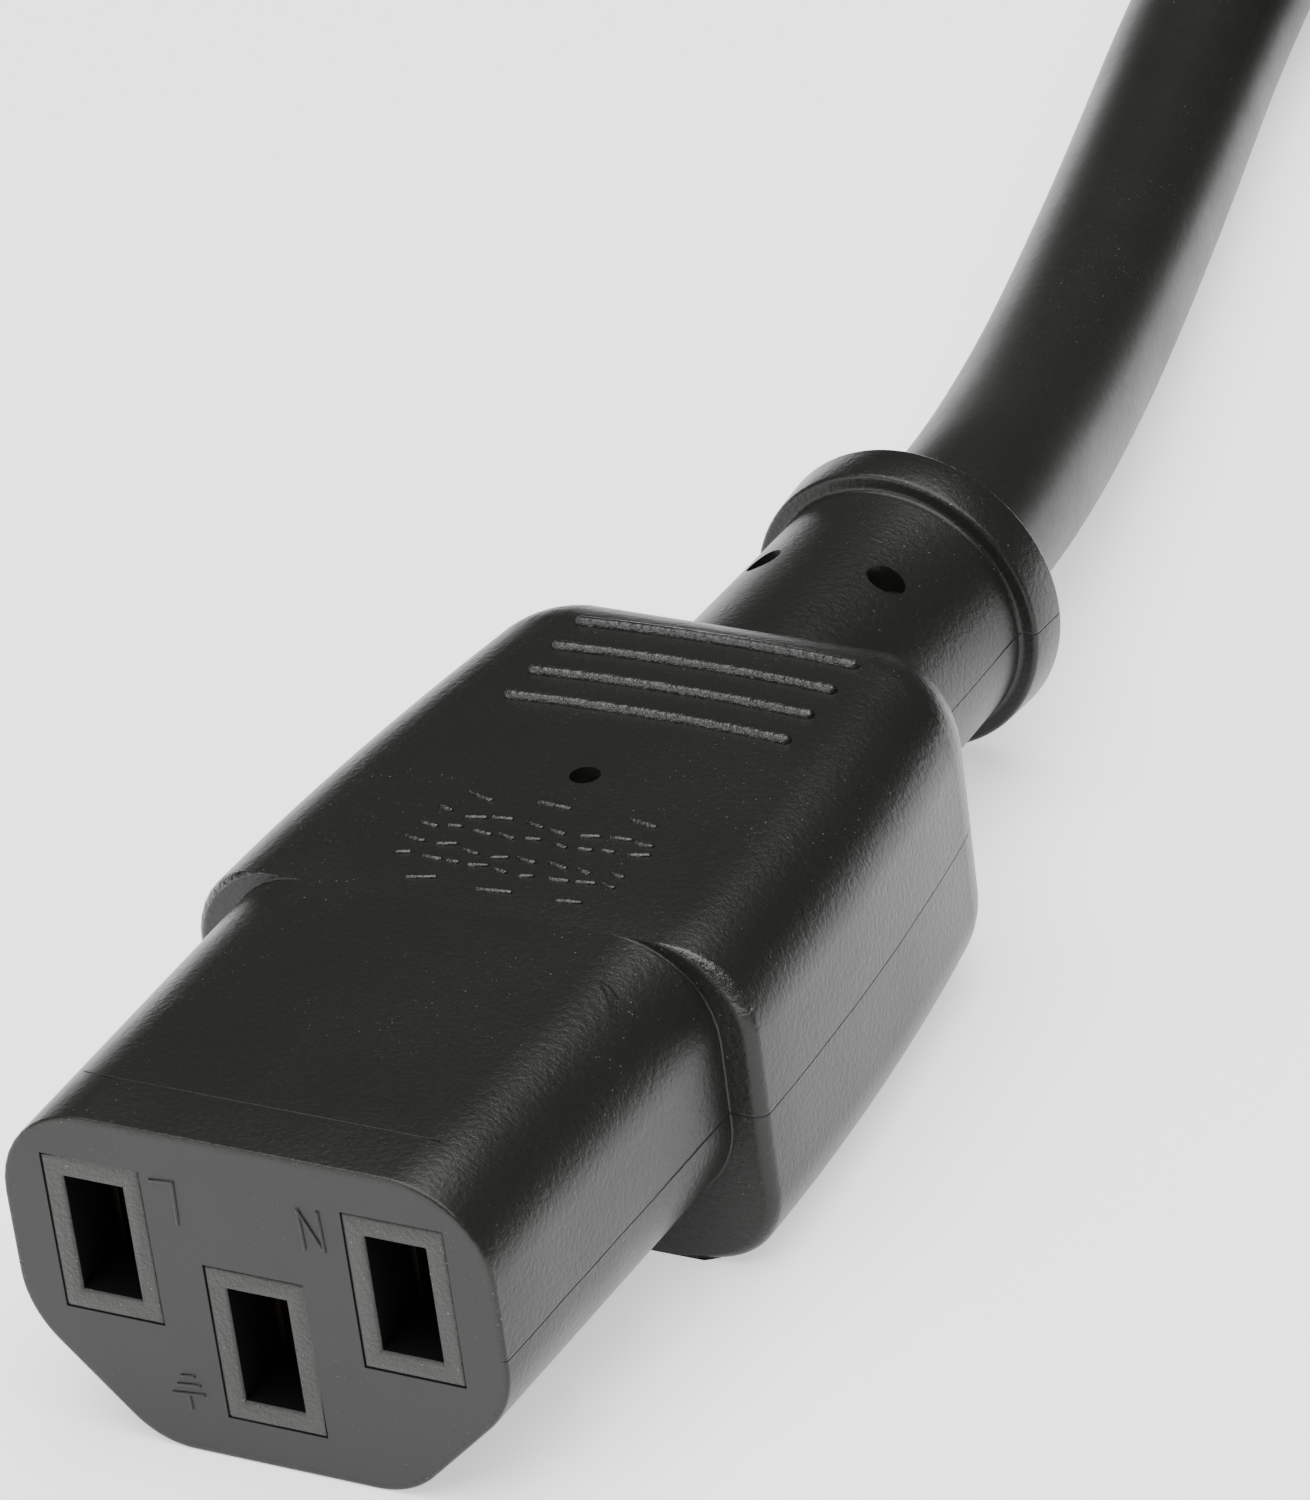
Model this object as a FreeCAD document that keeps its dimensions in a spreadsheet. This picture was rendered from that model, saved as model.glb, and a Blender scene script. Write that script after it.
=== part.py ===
import FreeCAD, Part
import math
import os
import Sketcher
from FreeCAD import Placement, Rotation, Vector

# Power extension cord: a three-slot appliance connector at one end, a coiled cord, and a shrouded plug with
# three flat pins at the other. Both ends are modelled with the mating face at y = 0 and the cord leaving
# along +Y, resting on z = 0, and each is then placed. The connector's middle is the origin of the part.

doc = FreeCAD.newDocument("PowerExtensionCord")

# Driving dimensions, in millimetres
SIZES = [
    ("pin_spacing", 14.0, "line to neutral, centre to centre"),
    ("earth_drop", 4.0, "earth below the line and neutral row"),
    ("blade_width", 4.0, "flat pin, across its broad side"),
    ("blade_thickness", 2.0, "flat pin, through"),
    ("nose_width", 22.8, "connector's mating face"),
    ("nose_height", 15.6, "connector's mating face"),
    ("nose_length", 18.7, "from the face to the step of the grip"),
    ("nose_growth", 0.3, "draft: each side wider at the step than at the face"),
    ("nose_top_radius", 4.4, "upper corners of the nose"),
    ("nose_chamfer", 5.5, "leg of the lower corners' bevels"),
    ("nose_side_radius", 4.5, "where a bevel meets the side"),
    ("nose_base_radius", 3.9, "where a bevel meets the base"),
    ("grip_width", 26.4, "at the step"),
    ("grip_taper", 4.4, "narrower at the rear corners, before rounding, than at the step"),
    ("grip_belly", 1.0, "wider half way back than straight sides would be"),
    ("grip_length", 26.5, "from the step to the rear corners"),
    ("grip_bow", 0.7, "how far the back stands proud in the middle"),
    ("grip_corner_radius", 4.4, "upright rear corners"),
    ("grip_top_radius", 4.2, "upper rim"),
    ("grip_bottom_radius", 3.8, "lower rim"),
    ("grip_lift", 0.35, "underside of the grip above the surface, room for the ribs"),
    ("rib_length", 13.9, "finger rib, end to end"),
    ("rib_width", 0.8, "finger rib"),
    ("rib_height", 0.3, "finger rib, above the grip"),
    ("rib_pitch", 2.2, "finger ribs, one to the next"),
    ("rib_inset", 9.95, "first rib ahead of the rear corners"),
    ("rib_count", 4, "finger ribs on each face"),
    ("grip_hole_diameter", 1.1, "core pin hole in the grip"),
    ("grip_hole_lead", 5.35, "core pin hole ahead of the first rib"),
    ("grip_hole_depth", 0.9, "core pin hole"),
    ("neck_diameter", 12.9, "where the neck leaves the grip"),
    ("neck_end_diameter", 12.4, "where the neck meets the collar"),
    ("neck_length", 12.6, "from the rear corners of the grip to the collar"),
    ("neck_root", 2.0, "neck inside the grip"),
    ("neck_hole_diameter", 1.6, "core pin holes in the neck"),
    ("neck_hole_spacing", 6.1, "core pin holes, across"),
    ("neck_hole_setback", 6.2, "core pin holes behind the rear corners"),
    ("neck_hole_depth", 1.1, "core pin holes, below the neck's crown at their place"),
    ("collar_diameter", 14.1, "front edge of the collar"),
    ("collar_back_diameter", 14.4, "back edge of the collar"),
    ("collar_length", 2.4, "along the cord"),
    ("collar_edge", 0.3, "bevelled rims of the collar"),
    ("sheath_reach", 14.2, "how far the sheathed cord runs into an overmould"),
    ("cord_diameter", 8.7, "sheathed three-core cord"),
    ("core_diameter", 2.9, "insulated core"),
    ("strand_diameter", 1.5, "bared copper"),
    ("fit_gap", 0.05, "round pieces that the overmould holds"),
    ("turret_width", 4.6, "insert's raised frame round a slot"),
    ("turret_height", 7.4, "insert's raised frame round a slot"),
    ("turret_gap", 0.08, "between a turret and the overmould's window"),
    ("face_thickness", 2.4, "overmould in front of the insert"),
    ("slot_width", 2.8, "opening for a flat pin"),
    ("slot_height", 5.5, "opening for a flat pin"),
    ("slot_length", 3.0, "from the face to the contact chamber"),
    ("mould_wall", 1.8, "overmould round the insert"),
    ("chamber_width", 3.8, "contact chamber"),
    ("chamber_height", 5.6, "contact chamber"),
    ("chamber_length", 14.0, "contact chamber"),
    ("contact_sheet", 0.35, "brass strip"),
    ("contact_height", 5.0, "contact, along the slot's long side"),
    ("contact_base", 1.6, "half width at the contact's root, to mid strip"),
    ("contact_pinch", 1.0, "half width where the leaves grip, to mid strip"),
    ("contact_mouth", 1.5, "half width of the flared mouth, to mid strip"),
    ("contact_length", 12.9, "leaves, mouth to root"),
    ("contact_pinch_depth", 3.9, "from the mouth to the grip point"),
    ("mouth_setback", 0.4, "contact mouth behind the chamber's front wall"),
    ("barrel_diameter", 2.6, "crimp barrel"),
    ("barrel_length", 5.0, "crimp barrel"),
    ("barrel_bore_gap", 0.3, "insert's bore round a crimp barrel"),
    ("core_seat", 2.0, "core inside the connector insert, behind its crimp barrel"),
    ("mating_gap", 0.3, "shroud's cavity round the connector's nose"),
    ("shroud_wall", 2.2, "plug's shroud, at the sides"),
    ("shroud_floor", 2.0, "plug's shroud, above and below"),
    ("shroud_depth", 17.2, "cavity, from the rim to its floor"),
    ("shroud_length", 21.0, "from the rim to the step of the grip"),
    ("shroud_top_radius", 5.0, "upper corners of the shroud"),
    ("shroud_bottom_radius", 6.5, "lower corners of the shroud"),
    ("plug_grip_width", 25.8, "at the step"),
    ("plug_grip_taper", 3.8, "narrower at the rear corners, before rounding, than at the step"),
    ("plug_grip_belly", 0.7, "wider half way back than straight sides would be"),
    ("plug_insert_width", 19.6, "hard block that holds the pins"),
    ("plug_insert_height", 12.6, "hard block that holds the pins"),
    ("plug_core_seat", 1.0, "core inside the plug's insert, behind its crimp barrel"),
    ("pin_setback", 1.6, "line and neutral tips behind the rim"),
    ("earth_lead", 0.8, "earth pin's lead over the other two"),
    ("pin_tip_chamfer", 0.5, "bevels at the tip of a flat pin"),
    ("blade_root", 6.8, "blade behind the cavity's floor"),
    ("coil_radius", 43.5, "centre of the coil to the middle of its turns"),
    ("coil_width_turns", 2, "turns side by side"),
    ("coil_height_turns", 3, "turns one on another"),
    ("strap_thickness", 0.8, "strap round the coil"),
    ("coil_bevel", 2.5, "bevel that touches the round cord at the coil's edges"),
    ("strap_angle", 13.0, "degrees of the coil under the strap"),
    ("strap_place", 285.0, "degrees round the coil, where the strap sits"),
]

sheet = doc.addObject("Spreadsheet::Sheet", "Sizes")
for row, (alias, number, words) in enumerate(SIZES, start=1):
    sheet.set(f"A{row}", words)
    sheet.set(f"B{row}", str(number))
    sheet.setAlias(f"B{row}", alias)
doc.recompute()


def size(alias):
    """One cell's number."""
    return float(sheet.get(alias))


def worked_out(expression):
    """The number that an expression on the cells gives."""
    answer = sheet.evalExpression(expression)
    return float(getattr(answer, "Value", answer))


# Names for lengths that several pieces share, written as expressions on the sheet
HALF_NOSE = "Sizes.nose_width / 2"
CONNECTOR_AXIS = "Sizes.nose_height / 2"
CONNECTOR_STEP = "Sizes.nose_length"
MATING_MARGIN = "(Sizes.nose_growth + Sizes.mating_gap)"
PLUG_HEIGHT = f"(Sizes.nose_height + 2 * ({MATING_MARGIN} + Sizes.shroud_floor))"
PLUG_AXIS = f"{PLUG_HEIGHT} / 2"
PLUG_STEP = "Sizes.shroud_length"
HANDLE = "(Sizes.grip_length + Sizes.neck_length + Sizes.collar_length)"
CONNECTOR_LENGTH = f"({CONNECTOR_STEP} + {HANDLE})"
PLUG_LENGTH = f"({PLUG_STEP} + {HANDLE})"
HALF_SPACING = "Sizes.pin_spacing / 2"
HALF_DROP = "Sizes.earth_drop / 2"

# Where the three poles sit: across, and above the axis
POLES = {
    "line": (f"-{HALF_SPACING}", HALF_DROP),
    "neutral": (HALF_SPACING, HALF_DROP),
    "earth": ("0", f"-{HALF_DROP}"),
}


# Sketch helpers

def origin_plane(body, role):
    return next(item for item in body.Origin.OriginFeatures if item.Role == role)


def new_body(name):
    return doc.addObject("PartDesign::Body", name)


def sketch_on(body, name, role, offset=None):
    """A sketch on one of the body's own planes, moved by expressions for its local x, y and z."""
    sketch = body.newObject("Sketcher::SketchObject", name)
    sketch.AttachmentSupport = [(origin_plane(body, role), "")]
    sketch.MapMode = "FlatFace"
    for letter, expression in (offset or {}).items():
        sketch.setExpression(f".AttachmentOffset.Base.{letter}", expression)
    return sketch


def hold_point(sketch, geometry, point, across, up):
    """Bind one point of a sketch to expressions for its two coordinates."""
    for kind, axis, expression in (("DistanceX", -2, across), ("DistanceY", -1, up)):
        number = worked_out(expression)
        if abs(number) < 1e-9:
            sketch.addConstraint(Sketcher.Constraint("PointOnObject", geometry, point, axis))
            continue
        index = sketch.addConstraint(Sketcher.Constraint(kind, -1, 1, geometry, point, number))
        sketch.setExpression(f"Constraints[{index}]", expression)


def add_polygon(sketch, corners):
    """A closed outline of straight lines whose corners are pairs of expressions."""
    points = [Vector(worked_out(across), worked_out(up), 0) for across, up in corners]
    first = sketch.GeometryCount
    count = len(points)
    for index in range(count):
        sketch.addGeometry(Part.LineSegment(points[index], points[(index + 1) % count]))
    for index in range(count):
        following = first + (index + 1) % count
        sketch.addConstraint(Sketcher.Constraint("Coincident", first + index, 2, following, 1))
    for index, (across, up) in enumerate(corners):
        hold_point(sketch, first + index, 1, across, up)


def add_circle(sketch, across, up, diameter):
    centre = Vector(worked_out(across), worked_out(up), 0)
    index = sketch.addGeometry(Part.Circle(centre, Vector(0, 0, 1), worked_out(diameter) / 2))
    hold_point(sketch, index, 3, across, up)
    bound = sketch.addConstraint(Sketcher.Constraint("Diameter", index, worked_out(diameter)))
    sketch.setExpression(f"Constraints[{bound}]", diameter)


def box_corners(across, up, width, height):
    """The four corners of a rectangle round a centre."""
    left, right = f"{across} - ({width}) / 2", f"{across} + ({width}) / 2"
    low, high = f"{up} - ({height}) / 2", f"{up} + ({height}) / 2"
    return [(left, low), (right, low), (right, high), (left, high)]


# Feature helpers

def extrude(body, sketch, length, kind="Pad", along_minus=False, both_ways=False):
    """Pad or pocket a sketch by an expression, and check that the body's volume changed as it should."""
    before = body.Shape.Volume if not body.Shape.isNull() and body.Tip else 0.0
    feature = body.newObject(f"PartDesign::{kind}", f"{kind}_{sketch.Name}")
    feature.Profile = sketch
    feature.setExpression("Length", length)
    feature.Reversed = along_minus
    if both_ways:
        feature.SideType = "Symmetric"
    doc.recompute()
    change = feature.Shape.Volume - before
    if (change > 0) != (kind == "Pad"):
        raise RuntimeError(f"{feature.Name} changed the volume by {change:.3f}")
    return feature


def pad_back(body, sketch, length):
    """Pad a sketch that faces the mating end towards +Y."""
    return extrude(body, sketch, length, along_minus=True)


def pocket_back(body, sketch, length):
    """Pocket a sketch that faces the mating end towards +Y."""
    return extrude(body, sketch, length, kind="Pocket")


def dress_edges(body, feature, kind, quantity, amount, chosen):
    """Fillet or chamfer the edges of a feature for which chosen(edge) is true."""
    names = [f"Edge{number}" for number, edge in enumerate(feature.Shape.Edges, start=1) if chosen(edge)]
    if not names:
        raise RuntimeError(f"no edge of {feature.Name} for a {kind} of {amount}")
    dressed = body.newObject(f"PartDesign::{kind}", f"{kind}_{feature.Name}")
    dressed.Base = (feature, names)
    dressed.setExpression(quantity, amount)
    doc.recompute()
    return dressed


def round_edges(body, feature, radius, chosen):
    return dress_edges(body, feature, "Fillet", "Radius", radius, chosen)


def bevel_edges(body, feature, leg, chosen):
    return dress_edges(body, feature, "Chamfer", "Size", leg, chosen)


def runs_back(edge):
    """True for an edge that runs along Y, give or take the draft."""
    box = edge.BoundBox
    return box.YLength > 5 * max(box.XLength, box.ZLength)


def fused(name, pieces):
    union = doc.addObject("Part::MultiFuse", name)
    union.Shapes = pieces
    return union


def cut_from(name, base, *tools):
    """One piece less each of the tools in turn."""
    for number, tool in enumerate(tools, start=1):
        result = doc.addObject("Part::Cut", f"{name}Cut{number}")
        result.Base = base
        result.Tool = tool
        result.Refine = False
        base = result
    doc.recompute()
    return base


def shape_feature(name, shape):
    feature = doc.addObject("Part::Feature", name)
    feature.Shape = shape
    return feature


def name_part(feature, label):
    feature.Label = label
    return feature


# The mating profile: flat top with round corners, and bevelled lower corners on the earth side

def mating_profile(half_width, low, high, chamfer):
    return [
        (f"-({half_width})", high),
        (half_width, high),
        (half_width, f"({low}) + {chamfer}"),
        (f"({half_width}) - {chamfer}", low),
        (f"-({half_width}) + {chamfer}", low),
        (f"-({half_width})", f"({low}) + {chamfer}"),
    ]


def mating_prism(name, margin, low, length, growth):
    """The connector's nose, or with a margin all round, the cavity that takes it."""
    body = new_body(name)
    high = f"({low}) + Sizes.nose_height + 2 * ({margin})"
    half = f"{HALF_NOSE} + {margin} + {growth}"
    front = sketch_on(body, f"{name}Front", "XZ_Plane")
    add_polygon(front, mating_profile(half, low, high, f"(Sizes.nose_chamfer + {growth})"))
    block = pad_back(body, front, length)
    if worked_out(growth):
        # Draft: the sides draw in towards the face
        sides = sketch_on(body, f"{name}Draft", "XY_Plane")
        for sign in ("", "-"):
            add_polygon(sides, [
                (f"{sign}({half})", "0"),
                (f"{sign}({half})", length),
                (f"{sign}({half} - {growth})", "0"),
            ])
        block = extrude(body, sides, high, kind="Pocket", along_minus=True)

    low_z = worked_out(low)
    bevel_z = low_z + size("nose_chamfer") + worked_out(growth) / 2

    def at_height(level):
        return lambda edge: runs_back(edge) and abs(edge.CenterOfMass.z - level) < 0.2

    step = round_edges(body, block, f"Sizes.nose_top_radius + {margin}", at_height(worked_out(high)))
    step = round_edges(body, step, f"Sizes.nose_side_radius + {margin}", at_height(bevel_z))
    round_edges(body, step, f"Sizes.nose_base_radius + {margin}", at_height(low_z))
    return body


# The grip: a plan outline with curved sides and a bowed back, rounded rims, ribs and core pin holes

def add_three_point_arc(sketch, start, middle, end):
    """An arc from start to end through middle, each a pair of expressions; returns its number."""
    start_at, middle_at, end_at = (
        Vector(worked_out(across), worked_out(up), 0) for across, up in (start, middle, end)
    )
    index = sketch.addGeometry(Part.Arc(start_at, middle_at, end_at))
    marker = sketch.addGeometry(Part.Point(middle_at), True)
    sketch.addConstraint(Sketcher.Constraint("PointOnObject", marker, 1, index))
    hold_point(sketch, marker, 1, *middle)
    return index


def grip_outline(sketch, start, front, middle, back):
    """Half widths front, middle and back, all expressions, from the step at y = start."""
    end = f"{start} + Sizes.grip_length"
    half_way = f"{start} + Sizes.grip_length / 2"
    front_right, front_left = (front, start), (f"-({front})", start)
    back_right, back_left = (back, end), (f"-({back})", end)
    corners = [Vector(worked_out(across), worked_out(up), 0) for across, up in (front_left, front_right)]
    step_line = sketch.addGeometry(Part.LineSegment(*corners))
    right = add_three_point_arc(sketch, front_right, (middle, half_way), back_right)
    rear = add_three_point_arc(sketch, back_right, ("0", f"{end} + Sizes.grip_bow"), back_left)
    left = add_three_point_arc(sketch, back_left, (f"-({middle})", half_way), front_left)
    hold_point(sketch, step_line, 1, *front_left)
    hold_point(sketch, step_line, 2, *front_right)

    def end_near(arc, target):
        """Which end of an arc lies at a corner: its start, 1, or its end, 2."""
        spot = Vector(worked_out(target[0]), worked_out(target[1]), 0)
        return min((1, 2), key=lambda point: sketch.getPoint(arc, point).distanceToPoint(spot))

    def join(first, first_end, second, second_end):
        sketch.addConstraint(Sketcher.Constraint("Coincident", first, first_end, second, second_end))

    join(step_line, 2, right, end_near(right, front_right))
    join(right, end_near(right, back_right), rear, end_near(rear, back_right))
    join(rear, end_near(rear, back_left), left, end_near(left, back_left))
    join(left, end_near(left, front_left), step_line, 1)
    hold_point(sketch, right, end_near(right, back_right), *back_right)
    hold_point(sketch, left, end_near(left, back_left), *back_left)


def grip_widths(prefix):
    """A grip's widths at the step, half way back and at the rear corners."""
    front, taper, belly = (f"Sizes.{prefix}_{part}" for part in ("width", "taper", "belly"))
    return front, f"({front} - {taper} / 2 + {belly})", f"({front} - {taper})"


def grip_body(name, start, height, widths):
    body = new_body(name)
    plan = sketch_on(body, f"{name}Plan", "XY_Plane", {"z": "Sizes.grip_lift"})
    grip_outline(plan, start, *[f"{width} / 2" for width in widths])
    block = extrude(body, plan, f"{height} - Sizes.grip_lift")
    start_y, tall = worked_out(start), worked_out(height)
    end_y = start_y + size("grip_length")

    def upright_rear(edge):
        box = edge.BoundBox
        return box.ZLength > tall / 2 and box.YMin > end_y - 0.5

    def rim(level):
        def chosen(edge):
            box = edge.BoundBox
            flat = abs(box.ZMin - level) < 0.01 and box.ZLength < 0.01
            return flat and box.YMax > start_y + 0.5
        return chosen

    block = round_edges(body, block, "Sizes.grip_corner_radius", upright_rear)
    block = round_edges(body, block, "Sizes.grip_top_radius", rim(tall))
    block = round_edges(body, block, "Sizes.grip_bottom_radius", rim(size("grip_lift")))

    # Ribs stand on top and underneath, with round ends
    first_rib = f"({start} + Sizes.grip_length - Sizes.rib_inset)"
    rib_root = "3 * Sizes.rib_height"
    rib_levels = {
        "Top": f"{height} - 2 * Sizes.rib_height",
        "Under": "Sizes.grip_lift - Sizes.rib_height",
    }
    for side, level in rib_levels.items():
        outline = sketch_on(body, f"{name}Rib{side}", "XY_Plane", {"z": level})
        add_slot(outline, first_rib)
        rib = extrude(body, outline, rib_root)
        row = body.newObject("PartDesign::LinearPattern", f"{name}Ribs{side}")
        row.Originals = [rib]
        row.Direction = (origin_plane(body, "Y_Axis"), [""])
        row.setExpression("Length", "Sizes.rib_pitch * (Sizes.rib_count - 1)")
        row.setExpression("Occurrences", "Sizes.rib_count")
        body.Tip = row
        doc.recompute()

    # Core pin holes, from above and from below
    spot = f"{first_rib} - Sizes.grip_hole_lead"
    for side, level, upwards in (("Top", height, False), ("Under", "Sizes.grip_lift", True)):
        mouth = sketch_on(body, f"{name}Hole{side}", "XY_Plane", {"z": level})
        add_circle(mouth, "0", spot, "Sizes.grip_hole_diameter")
        extrude(body, mouth, "Sizes.grip_hole_depth", kind="Pocket", along_minus=upwards)
    return body


def add_slot(sketch, y):
    """A rib's outline: two straight sides and two half-round ends, centred on x = 0."""
    reach = "(Sizes.rib_length - Sizes.rib_width) / 2"
    half = "Sizes.rib_width / 2"
    far, middle, radius = worked_out(reach), worked_out(y), worked_out(half)
    top, base = middle + radius, middle - radius
    upper = sketch.addGeometry(Part.LineSegment(Vector(-far, top, 0), Vector(far, top, 0)))
    right = sketch.addGeometry(
        Part.Arc(Vector(far, top, 0), Vector(far + radius, middle, 0), Vector(far, base, 0))
    )
    lower = sketch.addGeometry(Part.LineSegment(Vector(far, base, 0), Vector(-far, base, 0)))
    left = sketch.addGeometry(
        Part.Arc(Vector(-far, base, 0), Vector(-far - radius, middle, 0), Vector(-far, top, 0))
    )
    sketch.addConstraint(Sketcher.Constraint("Tangent", upper, 2, right, 2))
    sketch.addConstraint(Sketcher.Constraint("Tangent", right, 1, lower, 1))
    sketch.addConstraint(Sketcher.Constraint("Tangent", lower, 2, left, 2))
    sketch.addConstraint(Sketcher.Constraint("Tangent", left, 1, upper, 1))
    hold_point(sketch, right, 3, reach, y)
    hold_point(sketch, left, 3, f"-({reach})", y)
    bound = sketch.addConstraint(Sketcher.Constraint("Radius", right, radius))
    sketch.setExpression(f"Constraints[{bound}]", half)


# The neck and its collar: the strain relief, turned about the cord's axis

def neck_body(name, start, axis):
    body = new_body(name)
    rear = f"({start} + Sizes.grip_length)"
    collar = f"({rear} + Sizes.neck_length)"
    end = f"({collar} + Sizes.collar_length)"
    profile = sketch_on(body, f"{name}Profile", "YZ_Plane", {"y": axis})
    root = f"{rear} - Sizes.neck_root"
    add_polygon(profile, [
        (root, "0"),
        (root, "Sizes.neck_diameter / 2"),
        (collar, "Sizes.neck_end_diameter / 2"),
        (collar, "Sizes.collar_diameter / 2"),
        (end, "Sizes.collar_back_diameter / 2"),
        (end, "0"),
    ])
    turned = body.newObject("PartDesign::Revolution", f"{name}Turned")
    turned.Profile = profile
    turned.ReferenceAxis = (profile, ["H_Axis"])
    turned.Angle = 360
    doc.recompute()
    collar_y, end_y = worked_out(collar), worked_out(end)
    neck_reach = size("neck_end_diameter") / 2

    def collar_rim(edge):
        box = edge.BoundBox
        round_edge = box.YLength < 1e-4 and box.XLength > 2 * neck_reach + 0.2
        return round_edge and min(abs(box.YMin - collar_y), abs(box.YMin - end_y)) < 1e-3

    bevel_edges(body, turned, "Sizes.collar_edge", collar_rim)

    # Two core pin holes from above, either side of the middle
    spot = f"{rear} + Sizes.neck_hole_setback"
    beside = "Sizes.neck_hole_spacing / 2"
    crown = f"{axis} + Sizes.neck_end_diameter / 2"
    mouths = sketch_on(body, f"{name}Holes", "XY_Plane", {"z": crown})
    add_circle(mouths, beside, spot, "Sizes.neck_hole_diameter")
    add_circle(mouths, f"-{beside}", spot, "Sizes.neck_hole_diameter")
    extrude(body, mouths, "Sizes.neck_hole_depth + Sizes.collar_edge", kind="Pocket")
    return body


# Routes: straight runs joined by tangent arcs, and round rods along them

ARC_SHARE = 0.45


def route_wire(points):
    """The path through a list of points, and the radius of each arc."""
    edges, radii = [], []
    reached = points[0]
    for before, corner, after in zip(points, points[1:], points[2:]):
        incoming, outgoing = corner - before, after - corner
        half_turn = incoming.getAngle(outgoing) / 2
        reach = ARC_SHARE * min(incoming.Length, outgoing.Length)
        inward, outward = Vector(incoming).normalize(), Vector(outgoing).normalize()
        radius = reach / math.tan(half_turn)
        arc_start, arc_end = corner - inward * reach, corner + outward * reach
        towards_centre = (outward - inward).normalize()
        sagitta = radius / math.cos(half_turn) - radius
        arc_middle = corner + towards_centre * sagitta
        edges.append(Part.LineSegment(reached, arc_start).toShape())
        edges.append(Part.Arc(arc_start, arc_middle, arc_end).toShape())
        reached = arc_end
        radii.append(radius)
    edges.append(Part.LineSegment(reached, points[-1]).toShape())
    return Part.Wire(edges), radii


def round_rod(wire, diameter, mitred=False):
    """A round rod along a wire, its volume compared with its section times its length."""
    first = wire.OrderedEdges[0]
    start, along = first.valueAt(first.FirstParameter), first.tangentAt(first.FirstParameter)
    circle = Part.Circle(start, along, diameter / 2)
    rod = wire.makePipeShell([Part.Wire([circle.toShape()])], True, False, int(mitred))
    expected = math.pi * diameter ** 2 / 4 * wire.Length
    if abs(rod.Volume - expected) > 0.01 * expected:
        raise RuntimeError(f"a rod holds {rod.Volume:.1f}, not {expected:.1f} cubic millimetres")
    return rod


def cord_rod(name, points):
    """The sheathed cord along a route, with the radius of each bend printed."""
    wire, radii = route_wire(points)
    print(name, "bend radii:", ", ".join(f"{radius:.0f}" for radius in radii))
    return shape_feature(name, round_rod(wire, size("cord_diameter")))


# Inside an end: a core from its barrel to the sheath in straight runs, and the bared copper in the barrel

def lay_of(pole, axis):
    """Where a pole's core lies in the sheath: three cores round the axis, their channels just apart."""
    lay_radius = (size("core_diameter") + 4 * size("fit_gap")) / math.sqrt(3)
    angle = {"line": 150, "neutral": 30, "earth": 270}[pole]
    return Vector(
        lay_radius * math.cos(math.radians(angle)), 0, axis + lay_radius * math.sin(math.radians(angle))
    )


def core_points(pole, axis_expression, from_y, insert_back, sheath_y):
    across, above = (worked_out(expression) for expression in POLES[pole])
    axis = worked_out(axis_expression)
    lay = lay_of(pole, axis)
    straight = (sheath_y - insert_back) / 4
    return [
        Vector(across, from_y, axis + above),
        Vector(across, insert_back + straight, axis + above),
        Vector(lay.x, sheath_y - straight, lay.z),
        Vector(lay.x, sheath_y, lay.z),
    ]


def core_shapes(end, axis, barrel_back, insert_back, sheath_y):
    """Each pole's core, the channel that the overmould leaves for it, and its bared copper."""
    cores, channels, strands = {}, {}, {}
    bare = 0.9 * size("barrel_length")
    for pole in POLES:
        points = core_points(pole, axis, barrel_back, insert_back, sheath_y)
        into_bore = points[:-1] + [points[-1] + Vector(0, size("strand_diameter"), 0)]
        core = round_rod(Part.makePolygon(points), size("core_diameter"), mitred=True)
        wider = size("core_diameter") + 2 * size("fit_gap")
        channel = round_rod(Part.makePolygon(into_bore), wider, mitred=True)
        cores[pole] = shape_feature(f"{end}_{pole}_core", core)
        channels[pole] = shape_feature(f"{end}_{pole}_channel", channel)
        start = points[0] - Vector(0, bare, 0)
        strand = Part.makeCylinder(size("strand_diameter") / 2, bare, start, Vector(0, 1, 0))
        strands[pole] = shape_feature(f"{end}_{pole}_conductor", strand)
    return cores, channels, strands


def in_frame_of(placement, name, feature):
    """A copy of a placed feature's shape, as it lies in the frame that placement puts in the world."""
    shape = feature.Shape.copy()
    shape.transformShape(placement.inverse().toMatrix())
    return shape_feature(name, shape)


# The connector

WALL = "Sizes.mould_wall"
INSERT_HALF = f"{HALF_NOSE} - {WALL}"
INSERT_HIGH = f"Sizes.nose_height - {WALL}"
INSERT_CHAMFER = f"(Sizes.nose_chamfer - {WALL} * 0.586)"
BARREL_FRONT = "(Sizes.slot_length + Sizes.chamber_length)"
BARREL_BACK = f"({BARREL_FRONT} + Sizes.barrel_length)"
INSERT_BACK = f"({BARREL_BACK} + Sizes.core_seat)"
BARREL_BORE = "(Sizes.barrel_diameter + 2 * Sizes.barrel_bore_gap)"
CORE_BORE = "(Sizes.core_diameter + 2 * Sizes.fit_gap)"


def connector_window(margin, name, body):
    """Three frames round the slots, from the face to the insert's block."""
    sketch = sketch_on(body, name, "XZ_Plane")
    for across, above in POLES.values():
        width = f"Sizes.turret_width + 2 * ({margin})"
        height = f"Sizes.turret_height + 2 * ({margin})"
        add_polygon(sketch, box_corners(across, f"{CONNECTOR_AXIS} + {above}", width, height))
    return pad_back(body, sketch, "Sizes.face_thickness + Sizes.fit_gap")


def connector_insert_block(name, margin):
    body = new_body(name)
    outline = sketch_on(body, f"{name}Block", "XZ_Plane", {"z": "-Sizes.face_thickness"})
    add_polygon(outline, mating_profile(INSERT_HALF, WALL, INSERT_HIGH, INSERT_CHAMFER))
    pad_back(body, outline, f"{INSERT_BACK} - Sizes.face_thickness")
    connector_window(margin, f"{name}Turrets", body)
    return body


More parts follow.
